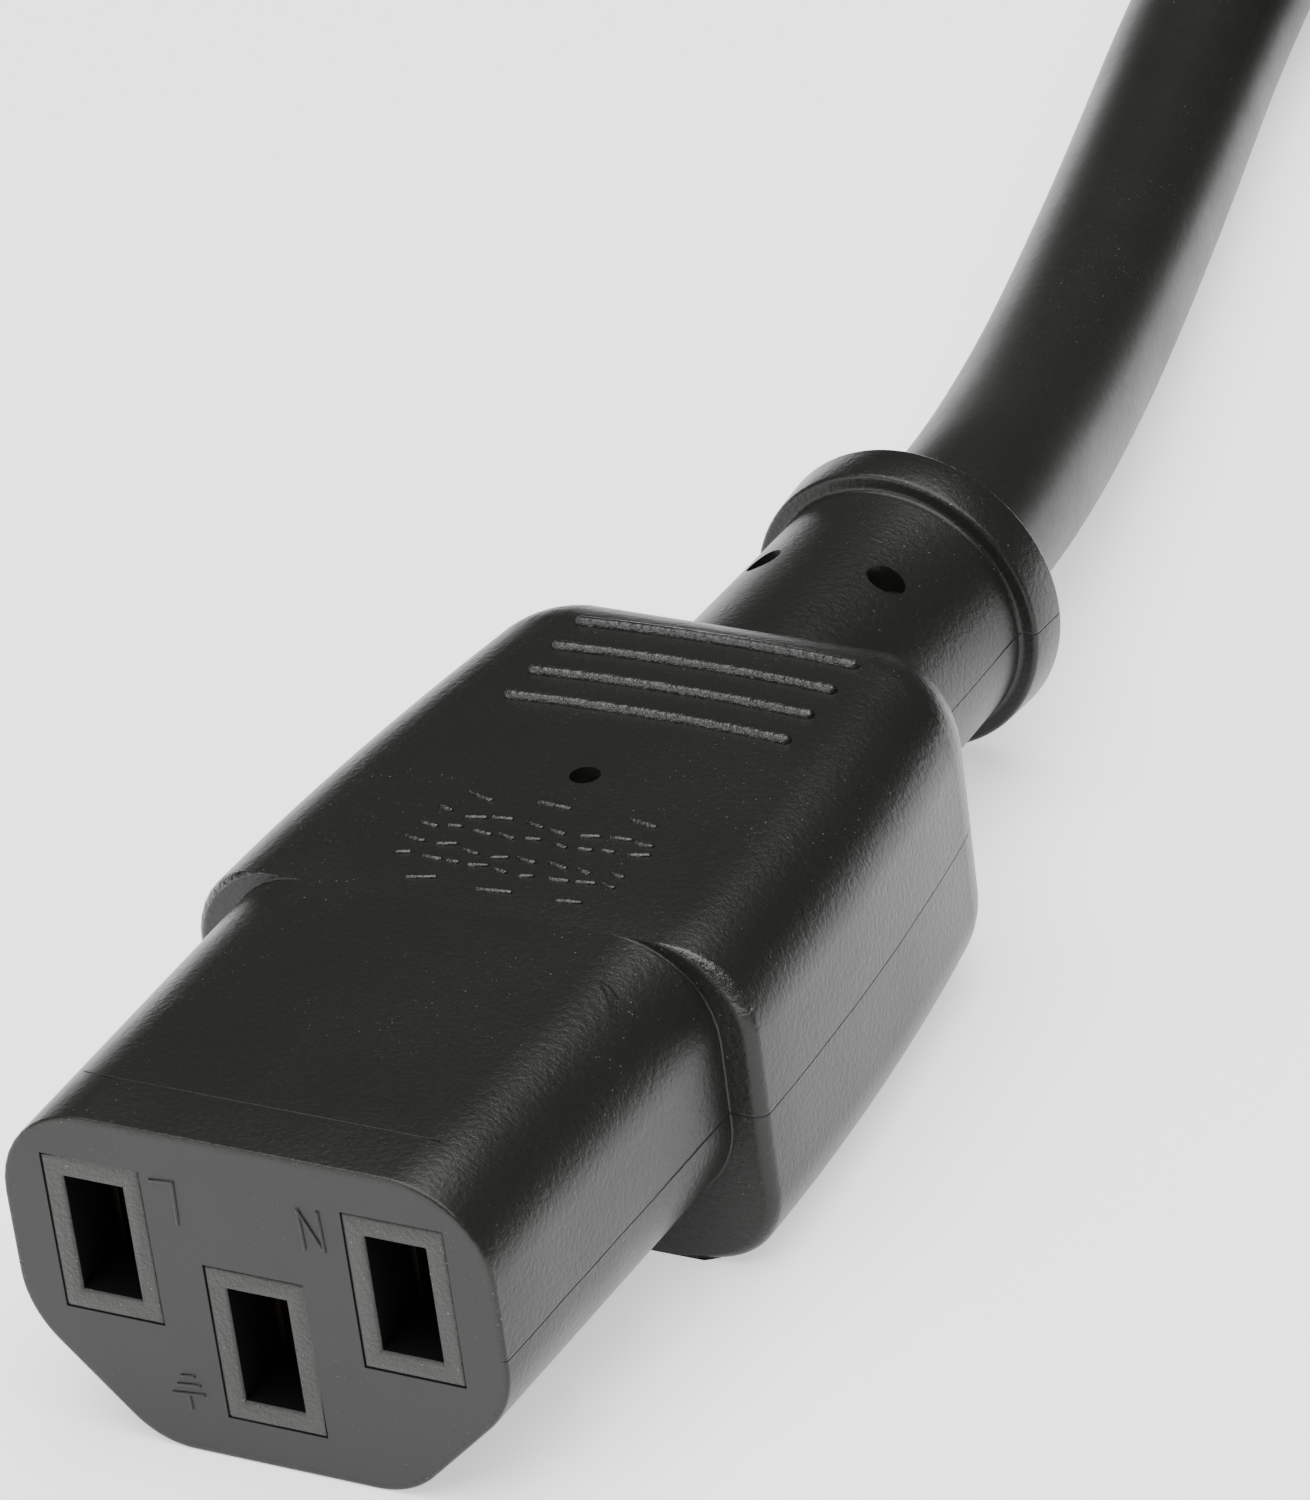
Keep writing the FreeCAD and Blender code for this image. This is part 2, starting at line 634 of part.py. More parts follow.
def connector_insert():
    body = connector_insert_block("ConnectorInsert", "0")
    slot = ("Sizes.slot_width", "Sizes.slot_height")
    chamber = ("Sizes.chamber_width", "Sizes.chamber_height")
    steps = [
        ("Slots", "0", "Sizes.slot_length", slot),
        ("Chambers", "-Sizes.slot_length", "Sizes.chamber_length", chamber),
    ]
    for name, offset, length, (width, height) in steps:
        sketch = sketch_on(body, f"ConnectorInsert{name}", "XZ_Plane", {"z": offset})
        for across, above in POLES.values():
            add_polygon(sketch, box_corners(across, f"{CONNECTOR_AXIS} + {above}", width, height))
        pocket_back(body, sketch, length)
    bores = [
        ("BarrelBores", BARREL_FRONT, "Sizes.barrel_length", BARREL_BORE),
        ("CoreBores", BARREL_BACK, "Sizes.core_seat", CORE_BORE),
    ]
    for name, start, length, diameter in bores:
        sketch = sketch_on(body, f"ConnectorInsert{name}", "XZ_Plane", {"z": f"-({start})"})
        for across, above in POLES.values():
            add_circle(sketch, across, f"{CONNECTOR_AXIS} + {above}", diameter)
        pocket_back(body, sketch, length)
    return body


def contact(pole):
    """A brass strip folded into two sprung leaves, with a crimp barrel behind."""
    across, above = POLES[pole]
    body = new_body(f"Contact{pole.capitalize()}")
    mouth = "(Sizes.slot_length + Sizes.mouth_setback)"
    pinch = f"({mouth} + Sizes.contact_pinch_depth)"
    root = f"({mouth} + Sizes.contact_length)"
    half_sheet = "Sizes.contact_sheet / 2"
    inner, outer = [], []
    for half, depth in (("contact_mouth", mouth), ("contact_pinch", pinch), ("contact_base", root)):
        outer.append((f"Sizes.{half} + {half_sheet}", depth))
        inner.append((f"Sizes.{half} - {half_sheet}", depth))
    outer[-1] = (outer[-1][0], BARREL_FRONT)
    right = inner[::-1] + outer
    left = [(f"-({x})", y) for x, y in reversed(right)]
    corners = [(f"{across} + ({x})", y) for x, y in right + left]
    height = f"{CONNECTOR_AXIS} + {above}"
    leaves = sketch_on(body, f"Contact{pole}Leaves", "XY_Plane", {"z": height})
    add_polygon(leaves, corners)
    extrude(body, leaves, "Sizes.contact_height", both_ways=True)
    barrel = sketch_on(body, f"Contact{pole}Barrel", "XZ_Plane", {"z": f"-{BARREL_FRONT}"})
    add_circle(barrel, across, height, "Sizes.barrel_diameter")
    add_circle(barrel, across, height, "Sizes.strand_diameter")
    pad_back(body, barrel, "Sizes.barrel_length")
    return body


def connector(placement, rod):
    """The connector's pieces; its overmould is moulded round the cord, so the cord's rod cuts it."""
    sheath_start = f"({CONNECTOR_LENGTH} - Sizes.sheath_reach)"
    cores, channels, strands = core_shapes(
        "connector",
        CONNECTOR_AXIS,
        worked_out(BARREL_BACK),
        worked_out(INSERT_BACK),
        worked_out(sheath_start),
    )
    nose = mating_prism("ConnectorNose", "0", "0", CONNECTOR_STEP, "Sizes.nose_growth")
    grip = grip_body("ConnectorGrip", CONNECTOR_STEP, "Sizes.nose_height", grip_widths("grip"))
    neck = neck_body("ConnectorNeck", CONNECTOR_STEP, CONNECTOR_AXIS)
    outside = fused("ConnectorOutside", [nose, grip, neck])
    seat = connector_insert_block("ConnectorSeat", "Sizes.turret_gap")
    bore = in_frame_of(placement, "ConnectorBore", rod)
    body = name_part(cut_from("ConnectorBody", outside, seat, bore, *channels.values()), "connector_body")
    insert = name_part(connector_insert(), "connector_insert")
    pieces = [body, insert]
    for pole in POLES:
        pieces.append(name_part(contact(pole), f"connector_{pole}_contact"))
        pieces.append(name_part(cores[pole], f"connector_{pole}_core"))
        pieces.append(name_part(strands[pole], f"connector_{pole}_conductor"))
    for piece in pieces:
        piece.setExpression(".Placement.Base.y", f"-{CONNECTOR_LENGTH} / 2")
    return pieces


# The plug

PLUG_HALF = f"({HALF_NOSE} + {MATING_MARGIN} + Sizes.shroud_wall)"
PIN_BARREL_FRONT = "(Sizes.shroud_depth + Sizes.blade_root)"
PIN_BARREL_BACK = f"({PIN_BARREL_FRONT} + Sizes.barrel_length)"
PLUG_INSERT_BACK = f"({PIN_BARREL_BACK} + Sizes.plug_core_seat)"


def shroud_body():
    """The block round the cavity, with round corners along its length."""
    body = new_body("PlugShroud")
    outline = sketch_on(body, "PlugShroudOutline", "XZ_Plane")
    add_polygon(outline, box_corners("0", PLUG_AXIS, f"2 * {PLUG_HALF}", PLUG_HEIGHT))
    block = pad_back(body, outline, PLUG_STEP)
    top = worked_out(PLUG_HEIGHT)

    def corner_at(level):
        return lambda edge: runs_back(edge) and abs(edge.CenterOfMass.z - level) < 0.2

    block = round_edges(body, block, "Sizes.shroud_top_radius", corner_at(top))
    round_edges(body, block, "Sizes.shroud_bottom_radius", corner_at(0))
    return body


def plug_insert_block(name):
    body = new_body(name)
    outline = sketch_on(body, f"{name}Block", "XZ_Plane", {"z": "-Sizes.shroud_depth"})
    half, tall = "Sizes.plug_insert_width / 2", "Sizes.plug_insert_height / 2"
    chamfer = INSERT_CHAMFER
    low, high = f"{PLUG_AXIS} - {tall}", f"{PLUG_AXIS} + {tall}"
    add_polygon(outline, mating_profile(half, low, high, chamfer))
    pad_back(body, outline, f"{PLUG_INSERT_BACK} - Sizes.shroud_depth")
    return body


def plug_insert():
    body = plug_insert_block("PlugInsert")
    blades = sketch_on(body, "PlugInsertBlades", "XZ_Plane", {"z": "-Sizes.shroud_depth"})
    width = "Sizes.blade_thickness + 2 * Sizes.fit_gap"
    height = "Sizes.blade_width + 2 * Sizes.fit_gap"
    for across, above in POLES.values():
        add_polygon(blades, box_corners(f"-({across})", f"{PLUG_AXIS} + {above}", width, height))
    pocket_back(body, blades, "Sizes.blade_root")
    bores = [
        ("BarrelBores", PIN_BARREL_FRONT, "Sizes.barrel_length", BARREL_BORE),
        ("CoreBores", PIN_BARREL_BACK, "Sizes.plug_core_seat", CORE_BORE),
    ]
    for name, start, length, diameter in bores:
        sketch = sketch_on(body, f"PlugInsert{name}", "XZ_Plane", {"z": f"-({start})"})
        for across, above in POLES.values():
            add_circle(sketch, across, f"{PLUG_AXIS} + {above}", diameter)
        pocket_back(body, sketch, length)
    return body


def pin(pole):
    """A flat pin with bevelled tip and a crimp barrel behind; facing the plug, line is on the right."""
    across, above = POLES[pole]
    tip = "Sizes.pin_setback"
    if pole == "earth":
        tip = "(Sizes.pin_setback - Sizes.earth_lead)"
    body = new_body(f"Pin{pole.capitalize()}")
    height = f"{PLUG_AXIS} + {above}"
    blade = sketch_on(body, f"Pin{pole}Blade", "XZ_Plane", {"z": f"-{tip}"})
    add_polygon(blade, box_corners(f"-({across})", height, "Sizes.blade_thickness", "Sizes.blade_width"))
    bar = pad_back(body, blade, f"{PIN_BARREL_FRONT} - {tip}")
    tip_y = worked_out(tip)
    bevel_edges(body, bar, "Sizes.pin_tip_chamfer", lambda edge: edge.BoundBox.YMax < tip_y + 0.01)
    barrel = sketch_on(body, f"Pin{pole}Barrel", "XZ_Plane", {"z": f"-{PIN_BARREL_FRONT}"})
    add_circle(barrel, f"-({across})", height, "Sizes.barrel_diameter")
    add_circle(barrel, f"-({across})", height, "Sizes.strand_diameter")
    pad_back(body, barrel, "Sizes.barrel_length")
    return body


def mirrored_across(shape):
    """The plug's poles lie the other way round, because it faces the connector."""
    return shape.mirror(Vector(0, 0, 0), Vector(1, 0, 0))


def plug(placement, rod):
    sheath_start = f"({PLUG_LENGTH} - Sizes.sheath_reach)"
    cores, channels, strands = core_shapes(
        "plug",
        PLUG_AXIS,
        worked_out(PIN_BARREL_BACK),
        worked_out(PLUG_INSERT_BACK),
        worked_out(sheath_start),
    )
    for pole in POLES:
        cores[pole].Shape = mirrored_across(cores[pole].Shape)
        strands[pole].Shape = mirrored_across(strands[pole].Shape)
        channels[pole].Shape = mirrored_across(channels[pole].Shape)
    shroud = shroud_body()
    grip = grip_body("PlugGrip", PLUG_STEP, PLUG_HEIGHT, grip_widths("plug_grip"))
    neck = neck_body("PlugNeck", PLUG_STEP, PLUG_AXIS)
    outside = fused("PlugOutside", [shroud, grip, neck])
    cavity = mating_prism("PlugCavity", MATING_MARGIN, "Sizes.shroud_floor", "Sizes.shroud_depth", "0")
    seat = plug_insert_block("PlugSeat")
    bore = in_frame_of(placement, "PlugBore", rod)
    hollows = [cavity, seat, bore, *channels.values()]
    pieces = [name_part(cut_from("PlugBody", outside, *hollows), "plug_body")]
    pieces.append(name_part(plug_insert(), "plug_insert"))
    for pole in POLES:
        pieces.append(name_part(pin(pole), f"plug_{pole}_pin"))
        pieces.append(name_part(cores[pole], f"plug_{pole}_core"))
        pieces.append(name_part(strands[pole], f"plug_{pole}_conductor"))
    for piece in pieces:
        piece.Placement = placement
    return pieces


# The coil and the strap round it

COIL_TURN = "(Sizes.coil_radius + (Sizes.coil_width_turns - 1) * Sizes.cord_diameter / 2)"
COIL_HEIGHT = "(Sizes.coil_height_turns * Sizes.cord_diameter)"


def ring_solid(name, margin, low, high, angle):
    """Part or all of a ring round the coil's axis, its long edges bevelled along the outer turns."""
    body = new_body(name)
    profile = sketch_on(body, f"{name}Profile", "XZ_Plane")
    width = f"Sizes.coil_width_turns * Sizes.cord_diameter + 2 * ({margin})"
    middle = f"(({low}) + ({high})) / 2"
    add_polygon(profile, box_corners("Sizes.coil_radius", middle, width, f"({high}) - ({low})"))
    ring = body.newObject("PartDesign::Revolution", f"{name}Turned")
    ring.Profile = profile
    ring.ReferenceAxis = (profile, ["V_Axis"])
    ring.Midplane = True
    ring.setExpression("Angle", angle)
    doc.recompute()

    def along_ring(edge):
        return edge.BoundBox.ZLength < 1e-3 and isinstance(edge.Curve, Part.Circle)

    bevel_edges(body, ring, f"Sizes.coil_bevel + 0.586 * ({margin})", along_ring)
    return body


def coil_and_tie(centre):
    """The coiled length as one ring, and the strap, which the ring's underside makes room for."""
    thick = "Sizes.strap_thickness"
    ring = ring_solid("CoilRing", "0", "0", COIL_HEIGHT, "360")
    strap_outside = ring_solid("StrapOutside", thick, "0", f"{COIL_HEIGHT} + {thick}", "Sizes.strap_angle")
    strap_inside = ring_solid("StrapInside", "0", thick, COIL_HEIGHT, "2 * Sizes.strap_angle")
    strap = cut_from("Strap", strap_outside, strap_inside)
    coil = cut_from("Coil", ring, strap)
    placement = Placement(centre, Rotation(Vector(0, 0, 1), size("strap_place")))
    for piece in (ring, strap):
        piece.Placement = placement
    return ring, name_part(coil, "cord_coil"), name_part(strap, "coil_tie")


# Where everything lies: the connector's middle is over the origin, and the surface is z = 0

CORD_ON_SURFACE = size("cord_diameter") / 2
CONNECTOR_AXIS_Z = worked_out(CONNECTOR_AXIS)
CONNECTOR_BACK = worked_out(CONNECTOR_LENGTH) / 2
PLUG_AXIS_Z = worked_out(PLUG_AXIS)

# The cord comes out level, sags to the surface in its own length, and bends gently to the left
FROM_CONNECTOR = [
    Vector(0, CONNECTOR_BACK - size("sheath_reach"), CONNECTOR_AXIS_Z),
    Vector(0, CONNECTOR_BACK + 2.1, CONNECTOR_AXIS_Z),
    Vector(-3.3, 49.0, CORD_ON_SURFACE + 1.0),
    Vector(-8.6, 70.5, CORD_ON_SURFACE),
    Vector(-15.1, 95.6, CORD_ON_SURFACE),
]
# The outermost turn takes it up here, clockwise seen from above
COIL_JOIN = Vector(-22.6, 137.0, CORD_ON_SURFACE)
# The ring's outside swallows the cord this far before it runs along a turn
COIL_APPROACH = 24.0
# The other end leaves the middle layer at this angle round the coil
COIL_LEAVE = math.radians(-12)
# A short stretch, slack between the coil and the plug; across and along are from where it leaves the coil
TO_PLUG = [
    Vector(-2.6, -18.0, 11.6),
    Vector(-4.4, -37.0, 10.3),
    Vector(-5.2, -56.0, PLUG_AXIS_Z),
]
PLUG_CLEAR = 2.1

arrival = (COIL_JOIN - FROM_CONNECTOR[-1]).normalize()
coil_turn = worked_out(COIL_TURN)
coil_centre = COIL_JOIN + Vector(arrival.y, -arrival.x, 0) * coil_turn
coil_centre.z = 0
rod_to_coil = cord_rod("RodToCoil", FROM_CONNECTOR + [COIL_JOIN - arrival * COIL_APPROACH])

leaving = Vector(math.sin(COIL_LEAVE), -math.cos(COIL_LEAVE), 0)
leave_point = coil_centre + Vector(math.cos(COIL_LEAVE), math.sin(COIL_LEAVE), 0) * coil_turn
take_off = leave_point + leaving * COIL_APPROACH + Vector(0, 0, 3 * CORD_ON_SURFACE)
to_plug = [take_off] + [Vector(take_off.x + step.x, take_off.y + step.y, step.z) for step in TO_PLUG]
to_plug.append(to_plug[-1] - Vector(0, PLUG_CLEAR + size("sheath_reach"), 0))
rod_to_plug = cord_rod("RodToPlug", to_plug)

connector_placement = Placement(Vector(0, -CONNECTOR_BACK, 0), Rotation())
plug_back = to_plug[-1] + Vector(0, size("sheath_reach"), -PLUG_AXIS_Z)
plug_placement = Placement(plug_back - Vector(0, worked_out(PLUG_LENGTH), 0), Rotation())
print("coil centre:", coil_centre, "plug face:", plug_placement.Base)

ring, coil, tie = coil_and_tie(coil_centre)
parts = connector(connector_placement, rod_to_coil) + plug(plug_placement, rod_to_plug)
parts.append(name_part(cut_from("CordFromConnector", rod_to_coil, ring), "cord_from_connector"))
parts.append(name_part(cut_from("CordToPlug", rod_to_plug, ring), "cord_to_plug"))
parts += [coil, tie]
doc.recompute()

# Every object has to be sound, and every sub-part one valid solid, before anything is written
for item in doc.Objects:
    if "Invalid" in item.State or "Error" in item.State:
        raise RuntimeError(f"{item.Name} failed: {item.State}")
os.makedirs("parts", exist_ok=True)
for piece in parts:
    shape = piece.Shape
    if shape.isNull() or not shape.isValid():
        raise RuntimeError(f"{piece.Label} has no valid shape")
    print(f"{piece.Label}: {len(shape.Solids)} solid, {shape.Volume:.1f} cubic millimetres")
    shape.exportStep(f"parts/{piece.Label}.step")
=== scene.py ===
# %% [markdown]
# A power extension cord: a moulded black connector with three slots, a thick cord, and at the far end a plug
# with three flat pins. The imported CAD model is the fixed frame. It loads first, and every piece made here is
# in its metres and stands where it stands.

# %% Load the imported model
import math
import random

import bmesh
import bpy
from mathutils import Matrix, Vector


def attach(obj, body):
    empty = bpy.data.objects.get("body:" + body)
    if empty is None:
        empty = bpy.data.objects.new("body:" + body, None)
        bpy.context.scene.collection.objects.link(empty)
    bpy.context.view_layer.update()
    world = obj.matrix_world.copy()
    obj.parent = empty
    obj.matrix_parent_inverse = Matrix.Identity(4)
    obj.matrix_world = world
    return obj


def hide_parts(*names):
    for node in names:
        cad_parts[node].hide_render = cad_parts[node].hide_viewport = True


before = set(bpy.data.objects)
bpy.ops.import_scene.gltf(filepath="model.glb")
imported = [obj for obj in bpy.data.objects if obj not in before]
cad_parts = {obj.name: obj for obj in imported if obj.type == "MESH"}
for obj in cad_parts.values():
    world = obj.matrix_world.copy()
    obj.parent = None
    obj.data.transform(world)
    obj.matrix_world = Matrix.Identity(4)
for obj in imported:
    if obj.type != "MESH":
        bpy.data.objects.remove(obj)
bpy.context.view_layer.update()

MM = 0.001
print("nodes:", len(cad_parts))

# %% [markdown]
# The camera comes first, because everything else is judged through it. It is a long lens about a third of a
# metre away, looking down by 30 degrees on the slotted face, and held slightly turned about its own axis.

# %% Camera
CAMERA_PLACE = Vector((0.1603, -0.2542, 0.1909))
CAMERA_LOOK = Vector((-0.45391, 0.73566, -0.50276))
CAMERA_UP = Vector((-0.14634, 0.49503, 0.85646))
PHOTO_HEIGHT = 1500
FOCAL_PIXELS = 8248.1

camera_data = bpy.data.cameras.new("camera")
camera_data.sensor_width = 36
camera_data.lens = FOCAL_PIXELS / PHOTO_HEIGHT * camera_data.sensor_width
camera_data.clip_start = 0.01
camera_data.clip_end = 20
camera = bpy.data.objects.new("camera", camera_data)
bpy.context.scene.collection.objects.link(camera)
camera_back = -CAMERA_LOOK.normalized()
camera_right = CAMERA_UP.cross(camera_back).normalized()
camera_up = camera_back.cross(camera_right)
turned = Matrix((camera_right, camera_up, camera_back)).transposed()
camera.matrix_world = Matrix.Translation(CAMERA_PLACE) @ turned.to_4x4()
bpy.context.scene.camera = camera
print("lens:", round(camera_data.lens, 1), "mm")

# %% [markdown]
# The cord is one smooth line from end to end, as a real cord is: out of the connector, down to the surface,
# into a tied coil of the length that the picture doesn't show, and on to the plug. It is a NURBS curve whose
# control points are the route's own corners, so it bends as softly as a thick sheath does.

# %% The cord's route
CORD_DIAMETER = 0.0087
CORD_RADIUS = CORD_DIAMETER / 2
CONNECTOR_BACK = 0.0301
CONNECTOR_AXIS = 0.0078
PLUG_AXIS = 0.0104
SHEATH_REACH = 0.0142

FROM_CONNECTOR = [
    (0, CONNECTOR_BACK - SHEATH_REACH, CONNECTOR_AXIS),
    (0, CONNECTOR_BACK + 0.0021, CONNECTOR_AXIS),
    (-0.0033, 0.0490, CORD_RADIUS + 0.001),
    (-0.0086, 0.0705, CORD_RADIUS),
    (-0.0151, 0.0956, CORD_RADIUS),
]
COIL_JOIN = Vector((-0.0226, 0.1370, CORD_RADIUS))
COIL_APPROACH = 0.024
COIL_RADIUS = 0.0435
COIL_LEAVE = math.radians(-12)
TO_PLUG = [(-0.0026, -0.0180, 0.0116), (-0.0044, -0.0370, 0.0103), (-0.0052, -0.0560, PLUG_AXIS)]
PLUG_CLEAR = 0.0021

arrival = (COIL_JOIN - Vector(FROM_CONNECTOR[-1])).normalized()
outer_turn = COIL_RADIUS + CORD_RADIUS
inner_turn = COIL_RADIUS - CORD_RADIUS
coil_centre = COIL_JOIN + Vector((arrival.y, -arrival.x, 0)) * outer_turn
coil_start = math.atan2(COIL_JOIN.y - coil_centre.y, COIL_JOIN.x - coil_centre.x)
print("coil centre:", [round(value, 4) for value in coil_centre])

# %% [markdown]
# The coil has six places for the cord: three layers, each with an outer and an inner turn, a cord's width
# apart. The cord takes them in one order, as a hand would wind it: outer, inner, up twice, outer, down. Five
# turns and a part are spread over the six places, so each holds a little less than a full circle, and the
# cord crosses softly from one to the next. It lifts slightly where the strap passes under it.

# %% The coil's turns
PLACES = [
    (outer_turn, 0), (inner_turn, 0), (inner_turn, 1),
    (inner_turn, 2), (outer_turn, 2), (outer_turn, 1),
]
TURNS = 5
POINTS_A_TURN = 24
CROSSING = 0.13
STRAP_PLACE = math.radians(285)
STRAP_THICKNESS = 0.0008
STRAP_SWELL = math.radians(22)


def eased(share):
    """0 before, 1 after, and smooth between."""
    share = min(max(share, 0), 1)
    return share * share * (3 - 2 * share)


def coil_point(angle, progress):
    """A point of the coil: how far round, and in which of the places, as a number that grows by 1 a place."""
    step = min(int(progress), len(PLACES) - 1)
    part = progress - step
    radius, level = PLACES[step]
    if part < CROSSING and step > 0:
        blend = eased(0.5 + 0.5 * part / CROSSING)
        radius_before, level_before = PLACES[step - 1]
        radius = radius_before + (radius - radius_before) * blend
        level = level_before + (level - level_before) * blend
    elif part > 1 - CROSSING and step < len(PLACES) - 1:
        blend = eased(0.5 * (part - 1 + CROSSING) / CROSSING)
        radius_after, level_after = PLACES[step + 1]
        radius += (radius_after - radius) * blend
        level += (level_after - level) * blend
    from_strap = math.remainder(angle - STRAP_PLACE, math.tau)
    lift = STRAP_THICKNESS * eased(2 - abs(from_strap) / STRAP_SWELL)
    height = CORD_RADIUS + level * CORD_DIAMETER + lift
    x = coil_centre.x + radius * math.cos(angle)
    y = coil_centre.y + radius * math.sin(angle)
    return Vector((x, y, height))


coil_span = TURNS * math.tau + (coil_start - COIL_LEAVE) % math.tau
steps = round(coil_span / math.tau * POINTS_A_TURN)
coil_points = []
for number in range(steps + 1):
    share = number / steps
    coil_points.append(coil_point(coil_start - coil_span * share, share * len(PLACES)))

leaving = Vector((math.sin(COIL_LEAVE), -math.cos(COIL_LEAVE), 0))
joining = COIL_JOIN - arrival * COIL_APPROACH
take_off = coil_points[-1] + leaving * COIL_APPROACH
to_plug = [Vector((take_off.x + across, take_off.y + along, height)) for across, along, height in TO_PLUG]
plug_mouth = to_plug[-1]
cord_end = plug_mouth - Vector((0, PLUG_CLEAR + SHEATH_REACH, 0))
route = [Vector(point) for point in FROM_CONNECTOR] + [joining] + coil_points
route += [take_off] + to_plug + [cord_end]
length = sum((after - before).length for before, after in zip(route, route[1:]))
print("control points:", len(route), "polygon length:", round(length, 3))

# %% [markdown]
# The cord itself: the curve carries a round section, fine enough that the close view shows no facets. A real
# sheath is pressed out as one round tube, so a curve with a bevel is nearer to it than joined cylinders are.

cord_curve = bpy.data.curves.new("power_cord", "CURVE")
cord_curve.dimensions = "3D"
cord_curve.bevel_depth = CORD_RADIUS
cord_curve.bevel_resolution = 20
cord_curve.resolution_u = 8
cord_curve.use_fill_caps = True
spline = cord_curve.splines.new("NURBS")
spline.points.add(len(route) - 1)
for point, place in zip(spline.points, route):
    point.co = (*place, 1)
spline.order_u = 3
spline.use_endpoint_u = True
power_cord = bpy.data.objects.new("power_cord", cord_curve)
bpy.context.scene.collection.objects.link(power_cord)
print("power_cord:", len(spline.points), "points")

# %% [markdown]
# A finish is a net of shader nodes. Wired one by one, a net is hard to read, so a small class lets a socket
# behave like a number, and a sum of sockets adds its own Math nodes. A pattern then reads as a formula.

# %% Sockets in sums


class Amount:
    """A shader socket that can be used in sums."""

    def __init__(self, tree, socket):
        self.tree = tree
        self.socket = socket

    def maths(self, operation, *others):
        node = self.tree.nodes.new("ShaderNodeMath")
        node.operation = operation
        for entry, other in zip(node.inputs, (self, *others)):
            if isinstance(other, Amount):
                self.tree.links.new(other.socket, entry)
            else:
                entry.default_value = other
        return Amount(self.tree, node.outputs[0])

    def __add__(self, other):
        return self.maths("ADD", other)

    def __radd__(self, other):
        return self.maths("ADD", other)

    def __sub__(self, other):
        return self.maths("SUBTRACT", other)

    def __rsub__(self, other):
        return self.maths("MULTIPLY", -1.0) + other

    def __mul__(self, other):
        return self.maths("MULTIPLY", other)

    def __rmul__(self, other):
        return self.maths("MULTIPLY", other)

    def between(self, low, high):
        """0 at low and 1 at high, held there beyond."""
        ramp = (self - low) * (1 / (high - low))
        return ramp.maths("MAXIMUM", 0.0).maths("MINIMUM", 1.0)

    def line(self, place, width):
        """1 on a line where this amount equals place, fading over its width."""
        return (self - place).maths("ABSOLUTE").between(width, 0.0)


print("sockets can be added, subtracted and multiplied")

# %% [markdown]
# A finish holds one material on the Principled shader. What is the same all over is set on the shader's own
# sockets, and what varies is linked. One method makes every other kind of node. Places are taken in
# millimetres, which keeps grain sizes easy to read.

# %% Finishes


class Finish:
    """A material on the Principled shader."""

    def __init__(self, name, **constants):
        self.material = bpy.data.materials.new(name)
        self.material.use_nodes = True
        self.tree = self.material.node_tree
        self.shader = self.tree.nodes["Principled BSDF"]
        for word, value in constants.items():
            self.shader.inputs[word.replace("_", " ")].default_value = value

    def node(self, kind, settings=None, inputs=None, output=0):
        """Any node: its settings first, then values or links for its sockets; gives one output."""
        made = self.tree.nodes.new(kind)
        for word, value in (settings or {}).items():
            setattr(made, word, value)
        for word, value in (inputs or {}).items():
            if isinstance(value, Amount):
                self.tree.links.new(value.socket, made.inputs[word])
            else:
                made.inputs[word].default_value = value
        return Amount(self.tree, made.outputs[output])

    def place(self):
        """The point on the piece in millimetres."""
        point = self.node("ShaderNodeTexCoord", output="Object")
        return self.node("ShaderNodeVectorMath", {"operation": "SCALE"}, {0: point, "Scale": 1 / MM})

    def noise(self, point, size, detail=2.0, roughness=0.5):
        """Soft noise whose lumps are about one size, in millimetres."""
        inputs = {"Vector": point, "Scale": 1 / size, "Detail": detail, "Roughness": roughness}
        return self.node("ShaderNodeTexNoise", None, inputs)

    def mixed(self, factor, first, second):
        """A colour between two, each given as a colour or a link."""
        return self.node("ShaderNodeMix", {"data_type": "RGBA"}, {0: factor, 6: first, 7: second}, output=2)

    def set(self, word, value):
        self.tree.links.new(value.socket, self.shader.inputs[word])

    def relief(self, height, depth):
        """Bump from a height between 0 and 1, with its real depth in millimetres."""
        inputs = {"Height": height, "Strength": 1.0, "Distance": depth * MM}
        self.set("Normal", self.node("ShaderNodeBump", None, inputs))


print("finishes are ready to be made")

# %% [markdown]
# Soft black PVC, as the overmould is: dyed through, with the fine grain of a spark-eroded mould. Grain is
# what keeps such plastic from looking wet. A few specks of dust and the mould's parting line break up the
# black. All of it is worked out from the place on the piece, so no picture has to be wrapped round it.

# %% Soft black finish
BLACK = (0.0125, 0.0125, 0.0114, 1)
# The slotted face is the same black, made a lighter grey: painted light from the front.
FACE_GREY_PAINTED_LIGHT = (0.020, 0.020, 0.0195, 1)
TURRET_GREY = (0.036, 0.036, 0.034, 1)
DUST = (0.22, 0.22, 0.20, 1)
PARTING_HEIGHT = CONNECTOR_AXIS / MM
PARTING_WIDTH = 0.06
PARTING_DEPTH = 1.2
PARTING_WANDER = 0.12
CLOUD_SIZE, WANDER_SIZE, DUST_SIZE = 6.0, 3.0, 0.11
SPECK_STARTS, SPECK_FULL = 0.82, 0.84
PATCH_STARTS, PATCH_FULL = 0.42, 0.6
UNEVEN_GLOSS = 0.14
DUST_DULLS = 0.2


